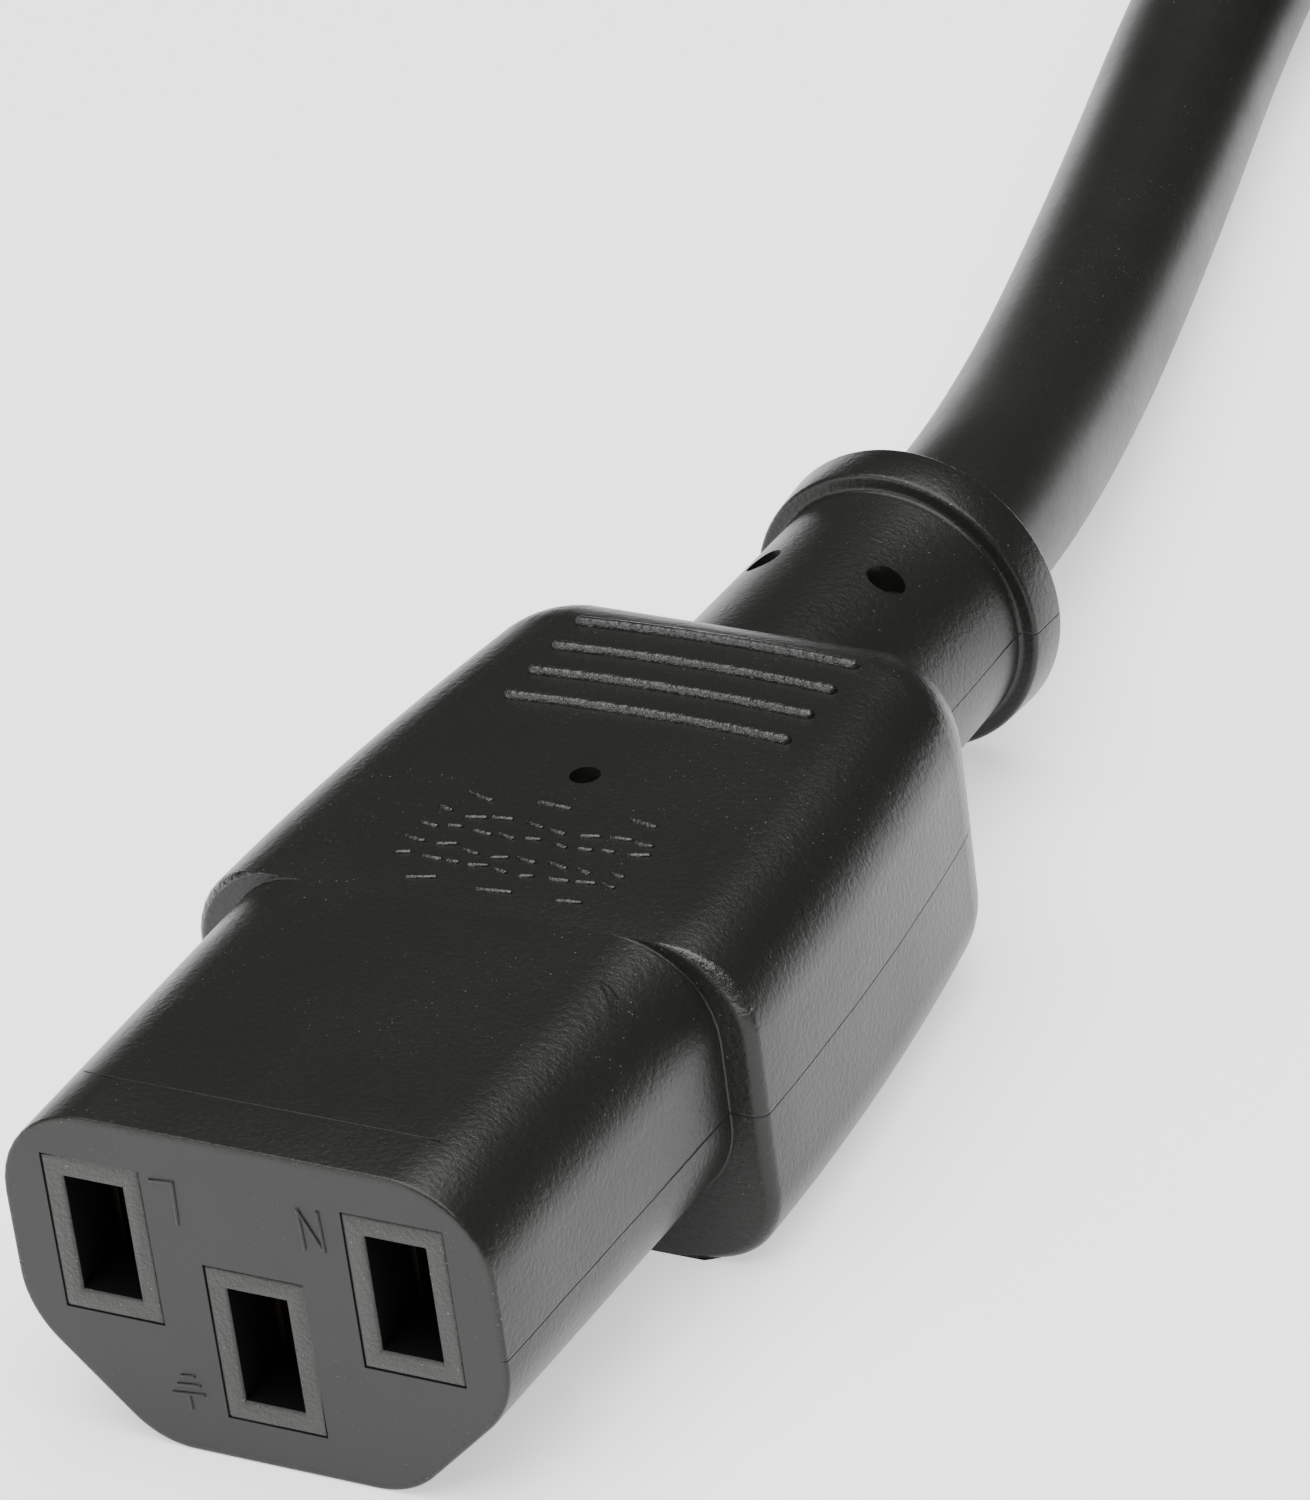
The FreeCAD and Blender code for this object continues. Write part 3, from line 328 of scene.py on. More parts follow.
def soft_black(name, roughness, grain_size, grain_depth, parting=None, colour=BLACK, dusty=0.6, ior=1.37):
    """Grain sizes and depths are in millimetres; parting is the height of the mould's joint line."""
    finish = Finish(name, IOR=ior)
    point = finish.place()
    grain = finish.noise(point, grain_size, detail=4.0, roughness=0.62)
    cloud = finish.noise(point, CLOUD_SIZE, detail=3.0)
    height = grain
    if parting is not None:
        up = finish.node("ShaderNodeSeparateXYZ", None, {"Vector": point}, output="Z")
        wander = finish.noise(point, WANDER_SIZE) * PARTING_WANDER - PARTING_WANDER / 2
        height = grain - (up + wander).line(parting, PARTING_WIDTH) * PARTING_DEPTH
    finish.relief(height, grain_depth)
    specks = finish.noise(point, DUST_SIZE, detail=0.0).between(SPECK_STARTS, SPECK_FULL)
    dust = specks * cloud.between(PATCH_STARTS, PATCH_FULL) * dusty
    finish.set("Base Color", finish.mixed(dust, colour, DUST))
    uneven = cloud * UNEVEN_GLOSS + grain * UNEVEN_GLOSS
    finish.set("Roughness", uneven + (roughness - UNEVEN_GLOSS) + dust * DUST_DULLS)
    return finish.material


overmould_black = soft_black("overmould_black", 0.31, 0.28, 0.036, parting=PARTING_HEIGHT)
rib_black = soft_black("rib_black", 0.24, 0.35, 0.10, ior=1.55)
# The face's finer, more matt grain is its own; its lighter grey is painted light from the front.
face_black_painted_light = soft_black("face_black_painted_light", 0.5, 0.14, 0.006, colour=FACE_GREY_PAINTED_LIGHT, dusty=0.2)
turret_black = soft_black("turret_black", 0.42, 0.22, 0.11, colour=TURRET_GREY, dusty=1.0)
sheath_black = soft_black("sheath_black", 0.38, 0.5, 0.012)
# Painted shade: near-black without gloss for the insert deep behind the face, where the slots are dark.
SLOT_PAINTED_SHADE = (0.002, 0.002, 0.002, 1)
slot_painted_shade = Finish("slot_painted_shade", Base_Color=SLOT_PAINTED_SHADE, Roughness=0.9, Specular_IOR_Level=0.1).material
cord_curve.materials.append(sheath_black)
print("soft black finishes ready")

# %% [markdown]
# Outlines with round corners carry the moulded shapes. A box with bevelled edges is quicker, but it can't
# change its corners along its length. Every outline here has the same number of points whatever its sizes,
# so one skin can run from the slotted face over the step and round the back of the grip.

# %% Outlines with round corners
ARC_STEPS = 10
LEAST_RADIUS = 0.05


def rounded(corners, radii):
    """The points round a closed outline with rounded corners, given in order."""
    points = []
    for index, (corner, radius) in enumerate(zip(corners, radii)):
        to_before = (corners[index - 1] - corner).normalized()
        to_after = (corners[(index + 1) % len(corners)] - corner).normalized()
        half = to_before.angle(to_after) / 2
        centre = corner + (to_before + to_after).normalized() * radius / math.sin(half)
        arm = corner + to_before * radius / math.tan(half) - centre
        turn = math.copysign(math.pi - 2 * half, to_before.cross(to_after))
        for step in range(ARC_STEPS + 1):
            spin = Matrix.Rotation(-turn * step / ARC_STEPS, 2)
            points.append(centre + spin @ arm)
    return points


def outline(half, low, high, chamfer, top_radius, side_radius, base_radius):
    """The mating outline: a flat top, upright sides and two bevelled lower corners."""
    corners = [
        (-half, high), (half, high), (half, low + chamfer),
        (half - chamfer, low), (chamfer - half, low), (-half, low + chamfer),
    ]
    radii = (top_radius, top_radius, side_radius, base_radius, base_radius, side_radius)
    return rounded([Vector(corner) for corner in corners], [max(radius, LEAST_RADIUS) for radius in radii])


def ring_at(y, points):
    return [Vector((point.x, y, point.y)) for point in points]


print("points in an outline:", 6 * (ARC_STEPS + 1))

# %% [markdown]
# A skin starts as one ring of edges, which is drawn out to the next ring again and again, as an editor's
# extrude does. Its two ends stay open, so that a face with windows can close one of them.

# %% Skin through rings


def skin(bm, rings):
    """A tube through rings of points: each ring's edges are drawn out to the next. Gives its two ends."""
    verts = [bm.verts.new(place) for place in rings[0]]
    edges = [bm.edges.new((verts[index - 1], verts[index])) for index in range(len(verts))]
    first = edges
    for before, after in zip(rings, rings[1:]):
        drawn = bmesh.ops.extrude_edge_only(bm, edges=edges)["geom"]
        place_of = {tuple(vert.co): index for index, vert in enumerate(verts)}
        new_verts = [item for item in drawn if isinstance(item, bmesh.types.BMVert)]
        verts = sorted(new_verts, key=lambda vert: place_of[tuple(vert.co)])
        for vert, place in zip(verts, after):
            vert.co = place
        ring = set(verts)
        edges = [item for item in drawn if isinstance(item, bmesh.types.BMEdge) and set(item.verts) <= ring]
    return first, edges


print("skin is ready to be drawn")

# %% [markdown]
# Every piece is modelled in millimetres, then scaled and moved into the part's frame in its mesh, so its
# object stays at the origin, unturned. Each rides the one rigid body and stands for its CAD nodes.

# %% Finished pieces
DOUBLES = 0.0005
SHARPEST = 32


def smooth_mesh(mesh):
    """Round surfaces are shaded smooth, and edges sharper than an angle stay crisp."""
    for polygon in mesh.polygons:
        polygon.use_smooth = True
    mesh.set_sharp_from_angle(angle=math.radians(SHARPEST))


def finished(name, bm, place, materials, slot, *nodes):
    """The piece itself: millimetres become metres in the part's frame, and it stands for CAD nodes."""
    bmesh.ops.remove_doubles(bm, verts=bm.verts, dist=DOUBLES)
    bmesh.ops.recalc_face_normals(bm, faces=bm.faces)
    bmesh.ops.scale(bm, vec=(MM, MM, MM), verts=bm.verts)
    bmesh.ops.translate(bm, vec=place, verts=bm.verts)
    mesh = bpy.data.meshes.new(name)
    bm.to_mesh(mesh)
    bm.free()
    for material in materials:
        mesh.materials.append(material)
    piece = bpy.data.objects.new(name, mesh)
    bpy.context.scene.collection.objects.link(piece)
    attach(piece, "root")
    if nodes:
        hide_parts(*nodes)
    print(f"{name}: {len(mesh.polygons)} faces")
    return piece


print("pieces are ready to be finished")

# %% [markdown]
# The connector's overmould is one moulding of soft black plastic. Its nose has the outline that an appliance
# inlet asks for: a flat top, upright sides and two bevelled lower corners, so it goes in one way round. It
# grows by a hair along its length, as a part that leaves a mould has to.

# %% Nose outline
FACE_PLACE = Vector((0, -CONNECTOR_BACK, 0))
NOSE = {"half": 11.4, "high": 15.6, "chamfer": 5.5, "growth": 0.3, "length": 18.7}
NOSE_RADII = (4.4, 4.5, 3.9)
BEVEL_OF_ROUND = 0.586
FACE_EDGE = 0.16
EDGE_STEPS = 4


def nose_outline(y, inset=0.0):
    half = NOSE["half"] + NOSE["growth"] * y / NOSE["length"] - inset
    top, side, base = (radius - inset for radius in NOSE_RADII)
    chamfer = NOSE["chamfer"] - inset * BEVEL_OF_ROUND
    return outline(half, inset, NOSE["high"] - inset, chamfer, top, side, base)


def quarter(steps):
    """Sine and one less cosine through a quarter turn."""
    for number in range(steps + 1):
        angle = math.pi / 2 * number / steps
        yield math.sin(angle), 1 - math.cos(angle)


def nose_rings():
    rings = [ring_at(0, nose_outline(0, FACE_EDGE * 2))]
    for sine, less in quarter(EDGE_STEPS):
        rings.append(ring_at(FACE_EDGE * less, nose_outline(0, FACE_EDGE * (1 - sine))))
    for share in (0.25, 0.5, 0.75):
        y = NOSE["length"] * share
        rings.append(ring_at(y, nose_outline(y)))
    return rings


print("nose:", 2 * NOSE["half"], "by", NOSE["high"], "by", NOSE["length"], "mm")

# %% [markdown]
# The grip is wider than the nose and narrows to the rear, where its corners are round and its back is bowed.
# Its top stays level with the nose. Each ring is the outline at a share of the grip's length.

# %% Grip outline
GRIP = {"half": 13.3, "straight": 0.1, "curved": 2.2, "length": 26.5, "bow": 0.7, "rise": 0.5}
GRIP_TOP_RADIUS, GRIP_BASE_RADIUS, GRIP_CORNER_RADIUS = 4.2, 3.8, 4.4
GRIP_RINGS, GRIP_FIRST, GRIP_LAST = 12, 0.06, 0.84
CORNER_STEPS = 12
THIN_RIM = 0.1


def grip_outline(share, corner=0.0, rim=0.0):
    """The grip's outline at a share of its length, drawn in at the rear by corner and rim."""
    half = GRIP["half"] - GRIP["straight"] * share - GRIP["curved"] * share ** 2 - corner
    low, high = GRIP["rise"] * share ** 2 + rim, NOSE["high"] - rim
    top, base = GRIP_TOP_RADIUS - rim, max(GRIP_BASE_RADIUS - rim, THIN_RIM)
    return outline(half, low, high, base * BEVEL_OF_ROUND, top, base, base)


def grip_rings():
    rings = []
    for number in range(1, GRIP_RINGS + 1):
        share = GRIP_FIRST + (GRIP_LAST - GRIP_FIRST) * number / GRIP_RINGS
        rings.append(ring_at(NOSE["length"] + GRIP["length"] * share, grip_outline(share)))
    widest = GRIP["half"] - GRIP["straight"] - GRIP["curved"]
    for sine, less in quarter(CORNER_STEPS):
        back = GRIP["length"] - GRIP_TOP_RADIUS * (1 - sine)
        share = back / GRIP["length"]
        points = grip_outline(share, GRIP_CORNER_RADIUS * less, GRIP_TOP_RADIUS * less)
        ring = ring_at(NOSE["length"] + back, points)
        for place in ring:
            place.y += GRIP["bow"] * (1 - (place.x / widest) ** 2)
        rings.append(ring)
    return rings


print("grip:", 2 * GRIP["half"], "mm wide at the step,", GRIP["length"], "mm long")

# %% [markdown]
# The step between them is a plane with a small hollow at its root and a round crest. A bevel would keep one
# size all round, but here both have to die out on top, where nose and grip share one surface. So each point
# runs from the nose's outline to the grip's, and the hollow and crest are no larger than the gap allows.

# %% Step
STEP_HOLLOW, STEP_CREST = 0.08, 0.6
HOLLOW_SHARE, CREST_SHARE = 0.45, 0.5
LEAST_ROUND, NO_STEP = 0.02, 0.0001
ROUND_STEPS = 8


def step_rings(inner, outer):
    """From the nose's outline out to the grip's, with a hollow root and a round crest."""
    count = len(inner)
    normals = []
    for index in range(count):
        along = outer[(index + 1) % count] - outer[index - 1]
        normals.append(Vector((-along.y, along.x)).normalized())
    rings = []
    for part in ("hollow", "crest"):
        for sine, less in quarter(ROUND_STEPS):
            ring = []
            for start, end, normal in zip(inner, outer, normals):
                gap = end - start
                height = max(gap.dot(normal), NO_STEP)
                hollow = min(STEP_HOLLOW, HOLLOW_SHARE * height)
                crest = min(STEP_CREST, CREST_SHARE * height)
                if part == "hollow":
                    out, y = hollow * less, max(hollow, LEAST_ROUND) * (sine - 1)
                else:
                    out, y = height - crest * (1 - sine), max(crest, LEAST_ROUND) * less
                spot = start + gap * (out / height)
                ring.append(Vector((spot.x, NOSE["length"] + y, spot.y)))
            rings.append(ring)
    return rings


print("step:", round(GRIP["half"] - NOSE["half"] - NOSE["growth"], 2), "mm to each side")

# %% [markdown]
# The slotted face is flat, with a window for each of the three turrets of the insert. The face is filled
# between its border and the windows' edges, and the windows' edges are drawn back to make their walls.

# %% Slotted face
LINE_X, POLE_HIGH, POLE_LOW = 7.0, 9.8, 5.8
TURRET = (4.6, 7.4)
TURRET_GAP = 0.045
FACE_THICKNESS = 2.4


def face_with_windows(bm, border):
    """The slotted face, filled round three windows, whose walls run back to the insert."""
    window_edges = []
    across, up = TURRET[0] / 2 + TURRET_GAP, TURRET[1] / 2 + TURRET_GAP
    for x, z in ((-LINE_X, POLE_HIGH), (LINE_X, POLE_HIGH), (0, POLE_LOW)):
        corners = [(x - across, z - up), (x + across, z - up), (x + across, z + up), (x - across, z + up)]
        verts = [bm.verts.new((corner_x, 0, corner_z)) for corner_x, corner_z in corners]
        window_edges += [bm.edges.new((verts[index - 1], verts[index])) for index in range(4)]
    filled = bmesh.ops.triangle_fill(bm, edges=border + window_edges, use_beauty=True)
    # The filled face takes index 1, the black with painted light.
    for face in filled["geom"]:
        if isinstance(face, bmesh.types.BMFace):
            face.material_index = 1
    walls = bmesh.ops.extrude_edge_only(bm, edges=window_edges)["geom"]
    moved = [item for item in walls if isinstance(item, bmesh.types.BMVert)]
    bmesh.ops.translate(bm, vec=(0, FACE_THICKNESS, 0), verts=moved)


print("windows:", round(TURRET[0] + 2 * TURRET_GAP, 2), "by", round(TURRET[1] + 2 * TURRET_GAP, 2), "mm")

# %% [markdown]
# Now the skin is drawn through all the rings and closed at both ends. The crest of the step is worn at its
# upper corners, so it shines there, and those few faces get the ribs' black.

# %% Overmould skin
CREST_WORN_ABOVE = 12.5

overmould = bmesh.new()
rings = nose_rings()
rings += step_rings(nose_outline(NOSE["length"]), grip_outline(0))
rings += grip_rings()
front, back = skin(overmould, rings)
face_with_windows(overmould, front)
bmesh.ops.edgeloop_fill(overmould, edges=back)
for face in overmould.faces:
    middle = face.calc_center_median()
    behind_step = middle.y - NOSE["length"]
    if STEP_CREST / 20 < behind_step < STEP_CREST and middle.z > CREST_WORN_ABOVE:
        face.material_index = 2
print("overmould rings:", len(rings))

# %% [markdown]
# The neck and collar are round, so one side of their section is spun all the way about the cord's axis. The
# collar's edges and the mouth that the cord leaves by are slightly round, as a mould's edges are.

# %% Neck and collar
AXIS = CONNECTOR_AXIS / MM
NECK_TAPER = [(41.0, 6.52), (45.0, 6.42), (51.0, 6.32)]
NECK_RADIUS = 6.22
COLLAR_START, COLLAR_END = 57.8, 60.2
COLLAR_FRONT_RADIUS, COLLAR_BACK_RADIUS = 7.05, 7.18
NECK_ROUND, COLLAR_ROUND, MOUTH_ROUND = 0.25, 0.28, 0.35
MOUTH_RADIUS = CORD_RADIUS / MM + 0.02
MOUTH_DEPTH = 3.0
SPIN_STEPS = 96


def arc_points(centre, radius, start, end, steps=5):
    """Points of an arc in the plane of the axis and the radius, angles in degrees."""
    for number in range(steps + 1):
        angle = math.radians(start + (end - start) * number / steps)
        yield centre[0] + radius * math.cos(angle), centre[1] + radius * math.sin(angle)


def neck_profile():
    """Pairs of place along the axis and distance from it."""
    root = (COLLAR_START - NECK_ROUND, NECK_RADIUS + NECK_ROUND)
    front = (COLLAR_START + NECK_ROUND, COLLAR_FRONT_RADIUS - NECK_ROUND)
    back = (COLLAR_END - COLLAR_ROUND, COLLAR_BACK_RADIUS - COLLAR_ROUND)
    mouth = (COLLAR_END - MOUTH_ROUND, MOUTH_RADIUS + MOUTH_ROUND)
    profile = list(NECK_TAPER)
    profile += arc_points(root, NECK_ROUND, 270, 360)
    profile += arc_points(front, NECK_ROUND, 180, 95)
    profile += arc_points(back, COLLAR_ROUND, 85, 0)
    profile += [(COLLAR_END, 5.6), (COLLAR_END, 4.9)]
    profile += arc_points(mouth, MOUTH_ROUND, 360, 270)
    profile += [(COLLAR_END - MOUTH_DEPTH, MOUTH_RADIUS)]
    return profile


def add_turned(bm, profile, axis_height):
    """A profile spun all the way round the cord's axis."""
    verts = [bm.verts.new((0, y, axis_height + radius)) for y, radius in profile]
    edges = [bm.edges.new(pair) for pair in zip(verts, verts[1:])]
    bmesh.ops.spin(bm, geom=verts + edges, cent=(0, 0, axis_height), axis=(0, 1, 0),
                   angle=math.tau, steps=SPIN_STEPS, use_merge=True)


add_turned(overmould, neck_profile(), AXIS)

# %% [markdown]
# Four low finger ribs lie across the grip's top, and four more underneath. Each is a bead with round ends,
# half sunk in the surface and slightly bowed, like the grip's back. Their crests are worn, so they shine.
# Those underneath are no taller than the gap there, so the connector still rests flat.

# %% Ribs
RIB_HALF_LENGTH, RIB_HALF_WIDTH, RIB_HEIGHT = 6.94, 0.29, 0.32
RIB_MIDDLE, RIB_BOW, RIB_CUTS = 0.45, 0.3, 9
RIB_PLACES = [34.65 + 2.16 * number for number in range(4)]


def add_bead(bm, half_length, half_width, height, matrix, bow=0.0, material_index=0):
    """A long bead: a flattened ball whose two halves are moved apart, cut into short lengths and bowed."""
    before = len(bm.verts)
    made = bmesh.ops.create_uvsphere(bm, u_segments=24, v_segments=12, radius=1)["verts"]
    bmesh.ops.scale(bm, vec=(half_width, half_width, height), verts=made)
    for vert in made:
        if abs(vert.co.x) > 1e-5:
            vert.co.x += math.copysign(half_length - half_width, vert.co.x)
    if bow:
        edges = {edge for vert in made for edge in vert.link_edges}
        long_edges = [edge for edge in edges if edge.calc_length() > half_length / 2]
        bmesh.ops.subdivide_edges(bm, edges=long_edges, cuts=RIB_CUTS)
        bm.verts.ensure_lookup_table()
        made = bm.verts[before:]
        for vert in made:
            vert.co.y += bow * (1 - (vert.co.x / half_length) ** 2)
    for face in {face for vert in made for face in vert.link_faces}:
        face.material_index = material_index
    bmesh.ops.transform(bm, matrix=matrix, verts=made)


def grip_base(y):
    return GRIP["rise"] * ((y - NOSE["length"]) / GRIP["length"]) ** 2


for y in RIB_PLACES:
    over_floor = grip_base(y)
    for level, height in ((NOSE["high"], RIB_HEIGHT), (over_floor, min(over_floor, RIB_HEIGHT))):
        place = Matrix.Translation((RIB_MIDDLE, y, level))
        add_bead(overmould, RIB_HALF_LENGTH, RIB_HALF_WIDTH, height, place, RIB_BOW, 2)

# %% [markdown]
# Moulded marks: L, N and the earth sign beside their slots, as every such connector has, and rows of short
# dashes on the grip, which say nothing. A picture of them would stay flat in other light, so all are low
# raised lines, made as the ribs are, and show by their glints alone.

# %% Marks
MARK_HALF_WIDTH, MARK_HEIGHT = 0.09, 0.08
FACE_STROKES = [
    ((-4.15, 13.25), (-3.10, 13.35)), ((-3.10, 13.35), (-3.17, 11.35)),
    ((2.68, 13.25), (2.74, 11.40)), ((2.68, 13.25), (3.62, 11.45)), ((3.60, 13.30), (3.66, 11.45)),
    ((-4.25, 3.72), (-3.70, 3.78)), ((-4.50, 3.25), (-3.50, 3.36)), ((-4.80, 2.78), (-3.35, 2.93)),
    ((-4.08, 2.85), (-4.05, 2.15)),
]
DASH_ROWS = [(27.0, 3, 0.7), (25.4, 8, 0.4), (24.4, 9, 0.35), (22.9, 8, 0.4), (21.9, 9, 0.35), (20.3, 3, 0.7)]
DASHES_LEFT, DASHES_RIGHT = -4.9, 5.9
DASH_HALF_WIDTH, DASH_HEIGHT = 0.13, 0.12
NOSE_ARC = [(8.50, 15.40), (8.90, 15.24), (9.20, 15.00), (9.55, 14.70), (9.85, 14.30)]
NOSE_ARC_THIN = 0.05
MOULD_LINE = ((-8.7, 3.1), (8.1, 3.1))
MOULD_LINE_THIN = 0.025
FORWARD, UP = Vector((0, -1, 0)), Vector((0, 0, 1))


def add_stroke(bm, start, end, half_width, height, outward, material_index=0):
    """A low raised line between two points; outward is the way that it stands out."""
    along = (end - start).normalized()
    side = outward.cross(along)
    turn = Matrix((along, side, outward)).transposed().to_4x4()
    half_length = (end - start).length / 2 + half_width
    place = Matrix.Translation((start + end) / 2) @ turn
    add_bead(bm, half_length, half_width, height, place, material_index=material_index)


for (x0, z0), (x1, z1) in FACE_STROKES:
    start, end = Vector((x0, 0, z0)), Vector((x1, 0, z1))
    add_stroke(overmould, start, end, MARK_HALF_WIDTH, MARK_HEIGHT, FORWARD)
chance = random.Random(4)
for y, count, reach in DASH_ROWS:
    spread = (DASHES_RIGHT - DASHES_LEFT) / count
    for number in range(count):
        x = DASHES_LEFT + spread * (number + 0.5 + chance.uniform(-0.15, 0.15))
        half = Vector((1, chance.uniform(-0.35, 0.35), 0)) * reach * chance.uniform(0.6, 1.1)
        middle = Vector((x, y + chance.uniform(-0.2, 0.2), NOSE["high"]))
        add_stroke(overmould, middle - half, middle + half, DASH_HALF_WIDTH, DASH_HEIGHT, UP, 2)
lines = [(start, end, NOSE_ARC_THIN) for start, end in zip(NOSE_ARC, NOSE_ARC[1:])]
lines.append((*MOULD_LINE, MOULD_LINE_THIN))
for start, end, thin in lines:
    add_stroke(overmould, Vector((*start, NOSE["high"])), Vector((*end, NOSE["high"])), thin, thin, UP)

blacks = [overmould_black, face_black_painted_light, rib_black]
overmould_piece = finished("connector_overmould", overmould, FACE_PLACE, blacks,
                           "soft_black", "connector_body")

# %% [markdown]
# Core pins hold the insert while the black is moulded round it, and leave small round holes: one in the grip,
# two in the neck. A boolean cuts them, because a hole in a curved surface is hard to draw into its mesh.

# %% Core pin holes
CUTTER_LENGTH = 4


def drill(piece, holes):
    """Cuts round blind holes, each given by x, y, top, depth and diameter in millimetres from the face."""
    cutter = bmesh.new()
    for x, y, top, depth, diameter in holes:
        place = Matrix.Translation((x, y, top - depth + CUTTER_LENGTH / 2))
        bmesh.ops.create_cone(cutter, cap_ends=True, segments=48, radius1=diameter / 2,
                              radius2=diameter / 2, depth=CUTTER_LENGTH, matrix=place)
    bmesh.ops.scale(cutter, vec=(MM, MM, MM), verts=cutter.verts)
    bmesh.ops.translate(cutter, vec=FACE_PLACE, verts=cutter.verts)
    mesh = bpy.data.meshes.new("cutter")
    cutter.to_mesh(mesh)
    cutter.free()
    tool = bpy.data.objects.new("cutter", mesh)
    bpy.context.scene.collection.objects.link(tool)
    cut = piece.modifiers.new("holes", "BOOLEAN")
    cut.operation = "DIFFERENCE"
    cut.object = tool
    graph = bpy.context.evaluated_depsgraph_get()
    piece.data = bpy.data.meshes.new_from_object(piece.evaluated_get(graph))
    piece.modifiers.clear()
    bpy.data.objects.remove(tool)
    smooth_mesh(piece.data)
    print(f"{piece.name}: {len(holes)} holes, {len(piece.data.polygons)} faces")


drill(overmould_piece, [
    (0.1, 29.7, NOSE["high"], 0.9, 1.35),
    (-3.05, 51.9, AXIS + 5.6, 1.2, 1.65),
    (3.05, 51.9, AXIS + 5.6, 1.2, 1.65),
])

# %% [markdown]
# The insert is the hard block behind the face. Its three turrets come through the windows and frame the
# slots. It is the CAD shape with its loose triangles joined up, and its front edges are broken as moulded
# ones are. What lies behind them gets painted shade, a near-black without gloss, for the dark inside the
# slots.

# %% Insert
INSERT_EDGE = 0.12 * MM
AT_THE_FACE = 0.02 * MM
TURRET_SHOWS = 0.25
JOIN_WITHIN = 0.005 * MM
FLAT_WITHIN = math.radians(1)


def merged_copy(node):
    """A CAD node's mesh with its loose triangles joined into whole flat faces."""
    bm = bmesh.new()
    bm.from_mesh(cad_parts[node].data)
    bmesh.ops.remove_doubles(bm, verts=bm.verts, dist=JOIN_WITHIN)
    bmesh.ops.dissolve_limit(bm, angle_limit=FLAT_WITHIN, verts=bm.verts, edges=bm.edges)
    return bm


insert = merged_copy("connector_insert")
front_y = AT_THE_FACE - CONNECTOR_BACK
front_edges = [edge for edge in insert.edges if all(vert.co.y < front_y for vert in edge.verts)]
bmesh.ops.bevel(insert, geom=front_edges, offset=INSERT_EDGE, offset_type="OFFSET", segments=2,
                profile=0.5, affect="EDGES", material=-1)
bmesh.ops.scale(insert, vec=(1 / MM,) * 3, verts=insert.verts)
# Faces deeper than the turrets' fronts get the painted slot shade.
for face in insert.faces:
    if face.calc_center_median().y > TURRET_SHOWS - CONNECTOR_BACK / MM:
        face.material_index = 1
insert_piece = finished("connector_insert_turrets", insert, Vector(), [turret_black, slot_painted_shade],
                        "hard_black", "connector_insert")
smooth_mesh(insert_piece.data)

# %% [markdown]
# The coil's tie is a woven hook and loop strap. It goes once round the turns, over itself, and its free end
# lies down the coil's outer side. The band is drawn as a line round the section of the turns, and spun a few
# degrees about the coil's middle, so it follows them. Then it gets its thickness and soft edges.

# %% Strap
STRAP_WIDTH = math.radians(13)
STRAP_SHEET = STRAP_THICKNESS / MM
STRAP_STEPS = 8
STRAP_SOFT_EDGE = 0.18
STRAP_SEAM = 0.001
RIM_ANGLE = math.radians(60)
TAIL_START, TAIL_DROP = 40.0, 9.0


def strap_section(layer):
    """Points in the section of the coil, radius and height, for the band (0) or for the tail over it (1)."""
    out = STRAP_SHEET * (layer + 0.5)
    inner, outer = inner_turn / MM - CORD_RADIUS / MM - out, outer_turn / MM + CORD_RADIUS / MM + out
    low, high = STRAP_SHEET - out, STRAP_SHEET + 3 * CORD_DIAMETER / MM + out
    radius = CORD_RADIUS / MM + out
    if layer == 0:
        corners = [(inner, high), (outer, high), (outer, low), (inner, low)]
        return rounded([Vector(corner) for corner in corners], [radius] * 4), True
    centre = (outer - radius, high - radius)
    bend = [Vector(spot) for spot in arc_points(centre, radius, 90, 0, ARC_STEPS)]
    return [Vector((TAIL_START, high))] + bend + [Vector((outer, high - radius - TAIL_DROP))], False


strap = bmesh.new()
for layer in (0, 1):
    section, closed = strap_section(layer)
    verts = [strap.verts.new((spot.x, 0, spot.y)) for spot in section]
    pairs = list(zip(verts, verts[1:])) + ([(verts[-1], verts[0])] if closed else [])
    edges = [strap.edges.new(pair) for pair in pairs]
    to_first_edge = Matrix.Rotation(STRAP_PLACE - STRAP_WIDTH / 2, 3, "Z")
    bmesh.ops.rotate(strap, verts=verts, cent=(0, 0, 0), matrix=to_first_edge)
    bmesh.ops.spin(strap, geom=verts + edges, cent=(0, 0, 0), axis=(0, 0, 1),
                   angle=STRAP_WIDTH, steps=STRAP_STEPS, use_merge=False)
bmesh.ops.remove_doubles(strap, verts=strap.verts, dist=STRAP_SEAM)
bmesh.ops.recalc_face_normals(strap, faces=strap.faces)
bmesh.ops.solidify(strap, geom=strap.faces[:], thickness=STRAP_SHEET * 0.9)
rims = [edge for edge in strap.edges if edge.is_manifold and edge.calc_face_angle() > RIM_ANGLE]
bmesh.ops.bevel(strap, geom=rims, offset=STRAP_SOFT_EDGE, offset_type="OFFSET", segments=2,
                profile=0.5, affect="EDGES", material=-1)
strap_cloth = soft_black("strap_cloth", 0.85, 0.4, 0.35, colour=(0.02, 0.02, 0.02, 1))
strap_piece = finished("coil_strap", strap, Vector((coil_centre.x, coil_centre.y, 0)), [strap_cloth],
                       "strap_black", "coil_tie")
smooth_mesh(strap_piece.data)

# %% [markdown]
# The plug lies outside the picture and keeps its CAD shapes, in the same blacks. Its pins are brass, the
# bared wires are copper, and each core has its own colour of plastic. Their colours are even on the real
# thing and only the gloss varies, so that is all that is linked. The brass behind the slots is painted
# near-black, as shade deep in the slots, and is rougher.

# %% Metal, cores and the plug's finishes
SMEAR_SIZE, SMEAR_GLOSS = 1.5, 0.2


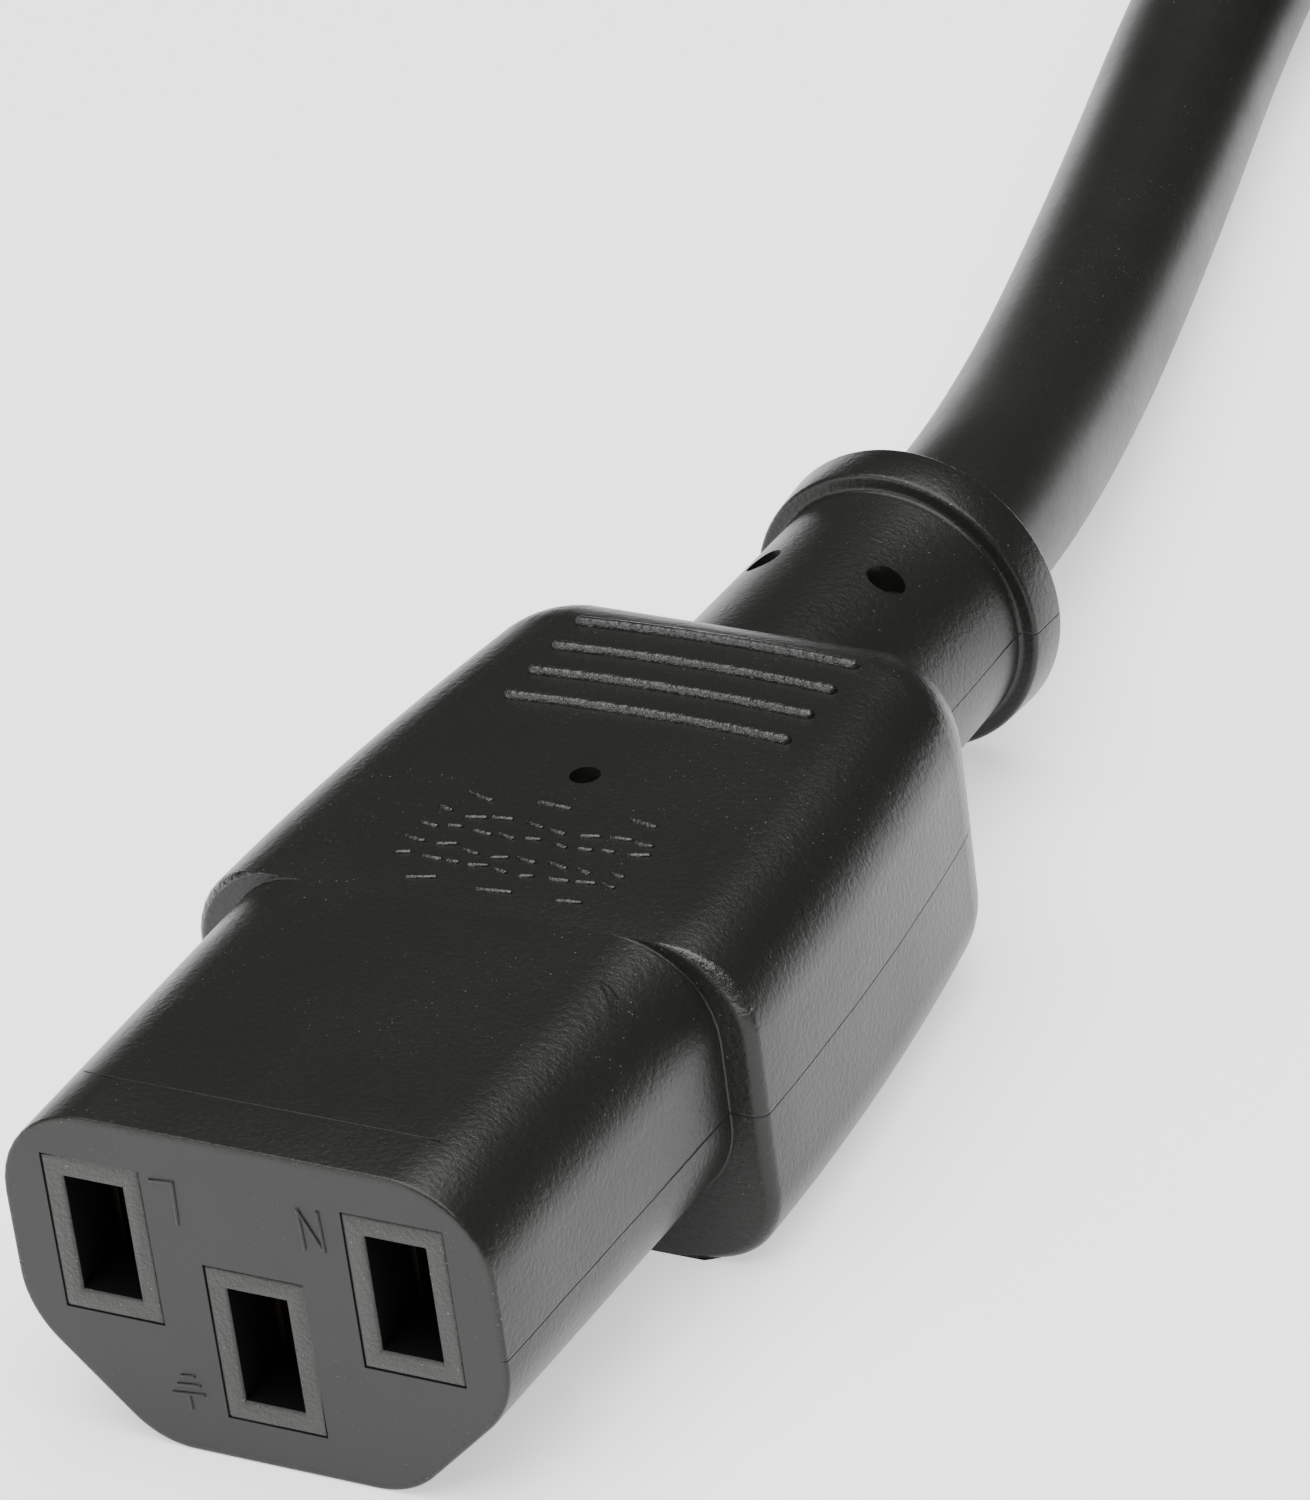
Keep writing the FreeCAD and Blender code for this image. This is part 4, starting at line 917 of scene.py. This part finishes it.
def plain(name, colour, roughness, metallic):
    finish = Finish(name, Base_Color=colour, Metallic=metallic)
    smears = finish.noise(finish.place(), SMEAR_SIZE)
    finish.set("Roughness", smears * SMEAR_GLOSS + (roughness - SMEAR_GLOSS / 2))
    return finish.material


brass = plain("brass", (0.72, 0.56, 0.30, 1), 0.3, 1.0)
# Painted shade: the contacts' brass made near-black for the dark inside the slots, and rougher.
slot_shaded_brass = plain("slot_shaded_brass", (0.05, 0.042, 0.03, 1), 0.7, 1.0)
copper = plain("copper", (0.80, 0.42, 0.26, 1), 0.35, 1.0)
insulation = {
    "line": plain("line_insulation", (0.20, 0.10, 0.05, 1), 0.45, 0.0),
    "neutral": plain("neutral_insulation", (0.05, 0.16, 0.50, 1), 0.45, 0.0),
    "earth": plain("earth_insulation", (0.25, 0.50, 0.10, 1), 0.45, 0.0),
}


def finish_of(node):
    if node.endswith("_contact"):
        return slot_shaded_brass
    if node.endswith("_pin"):
        return brass
    if node.endswith("_conductor"):
        return copper
    if node.endswith("_core"):
        return insulation[node.split("_")[1]]
    return turret_black if node == "plug_insert" else overmould_black


for name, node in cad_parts.items():
    node.data.materials.clear()
    node.data.materials.append(finish_of(name))
print("CAD nodes dressed:", len(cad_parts))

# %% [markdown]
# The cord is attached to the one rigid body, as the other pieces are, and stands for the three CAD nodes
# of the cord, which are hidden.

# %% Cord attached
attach(power_cord, "root")
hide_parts("cord_from_connector", "cord_coil", "cord_to_plug")

# %% [markdown]
# The floor is a plain pale sheet, lit from below as a product photographer's light table is, so the object
# throws hardly any shadow. More light comes from large soft sources above and in front, so that the black
# reads by soft reflections and not by hard glints.

# %% Floor and light
FLOOR_GLOW = 0.9
FLOOR_HALF = 6
WORLD_LIGHT = 0.04

floor_finish = Finish("floor", Base_Color=(0.9, 0.9, 0.9, 1), Roughness=0.9, Specular_IOR_Level=0.1,
                      Emission_Color=(1, 1, 1, 1), Emission_Strength=FLOOR_GLOW)
floor_bm = bmesh.new()
bmesh.ops.create_grid(floor_bm, x_segments=1, y_segments=1, size=FLOOR_HALF)
floor_mesh = bpy.data.meshes.new("floor")
floor_bm.to_mesh(floor_mesh)
floor_bm.free()
floor_mesh.materials.append(floor_finish.material)
floor = bpy.data.objects.new("floor", floor_mesh)
bpy.context.scene.collection.objects.link(floor)


def softbox(name, place, aim, size, watts):
    light = bpy.data.lights.new(name, "AREA")
    light.shape = "RECTANGLE"
    light.size, light.size_y = size
    light.energy = watts
    lamp = bpy.data.objects.new(name, light)
    lamp.location = place
    lamp.rotation_euler = (Vector(aim) - Vector(place)).to_track_quat("-Z", "Y").to_euler()
    bpy.context.scene.collection.objects.link(lamp)


softbox("overhead", (0.1, -0.1, 1.2), (0, 0, 0), (1.6, 1.6), 44)
softbox("front_left", (-0.7, -1.1, 0.5), (0, 0, 0), (0.9, 0.7), 9)
world = bpy.data.worlds.new("world")
world.use_nodes = True
world.node_tree.nodes["Background"].inputs["Color"].default_value = (1, 1, 1, 1)
world.node_tree.nodes["Background"].inputs["Strength"].default_value = WORLD_LIGHT
bpy.context.scene.world = world
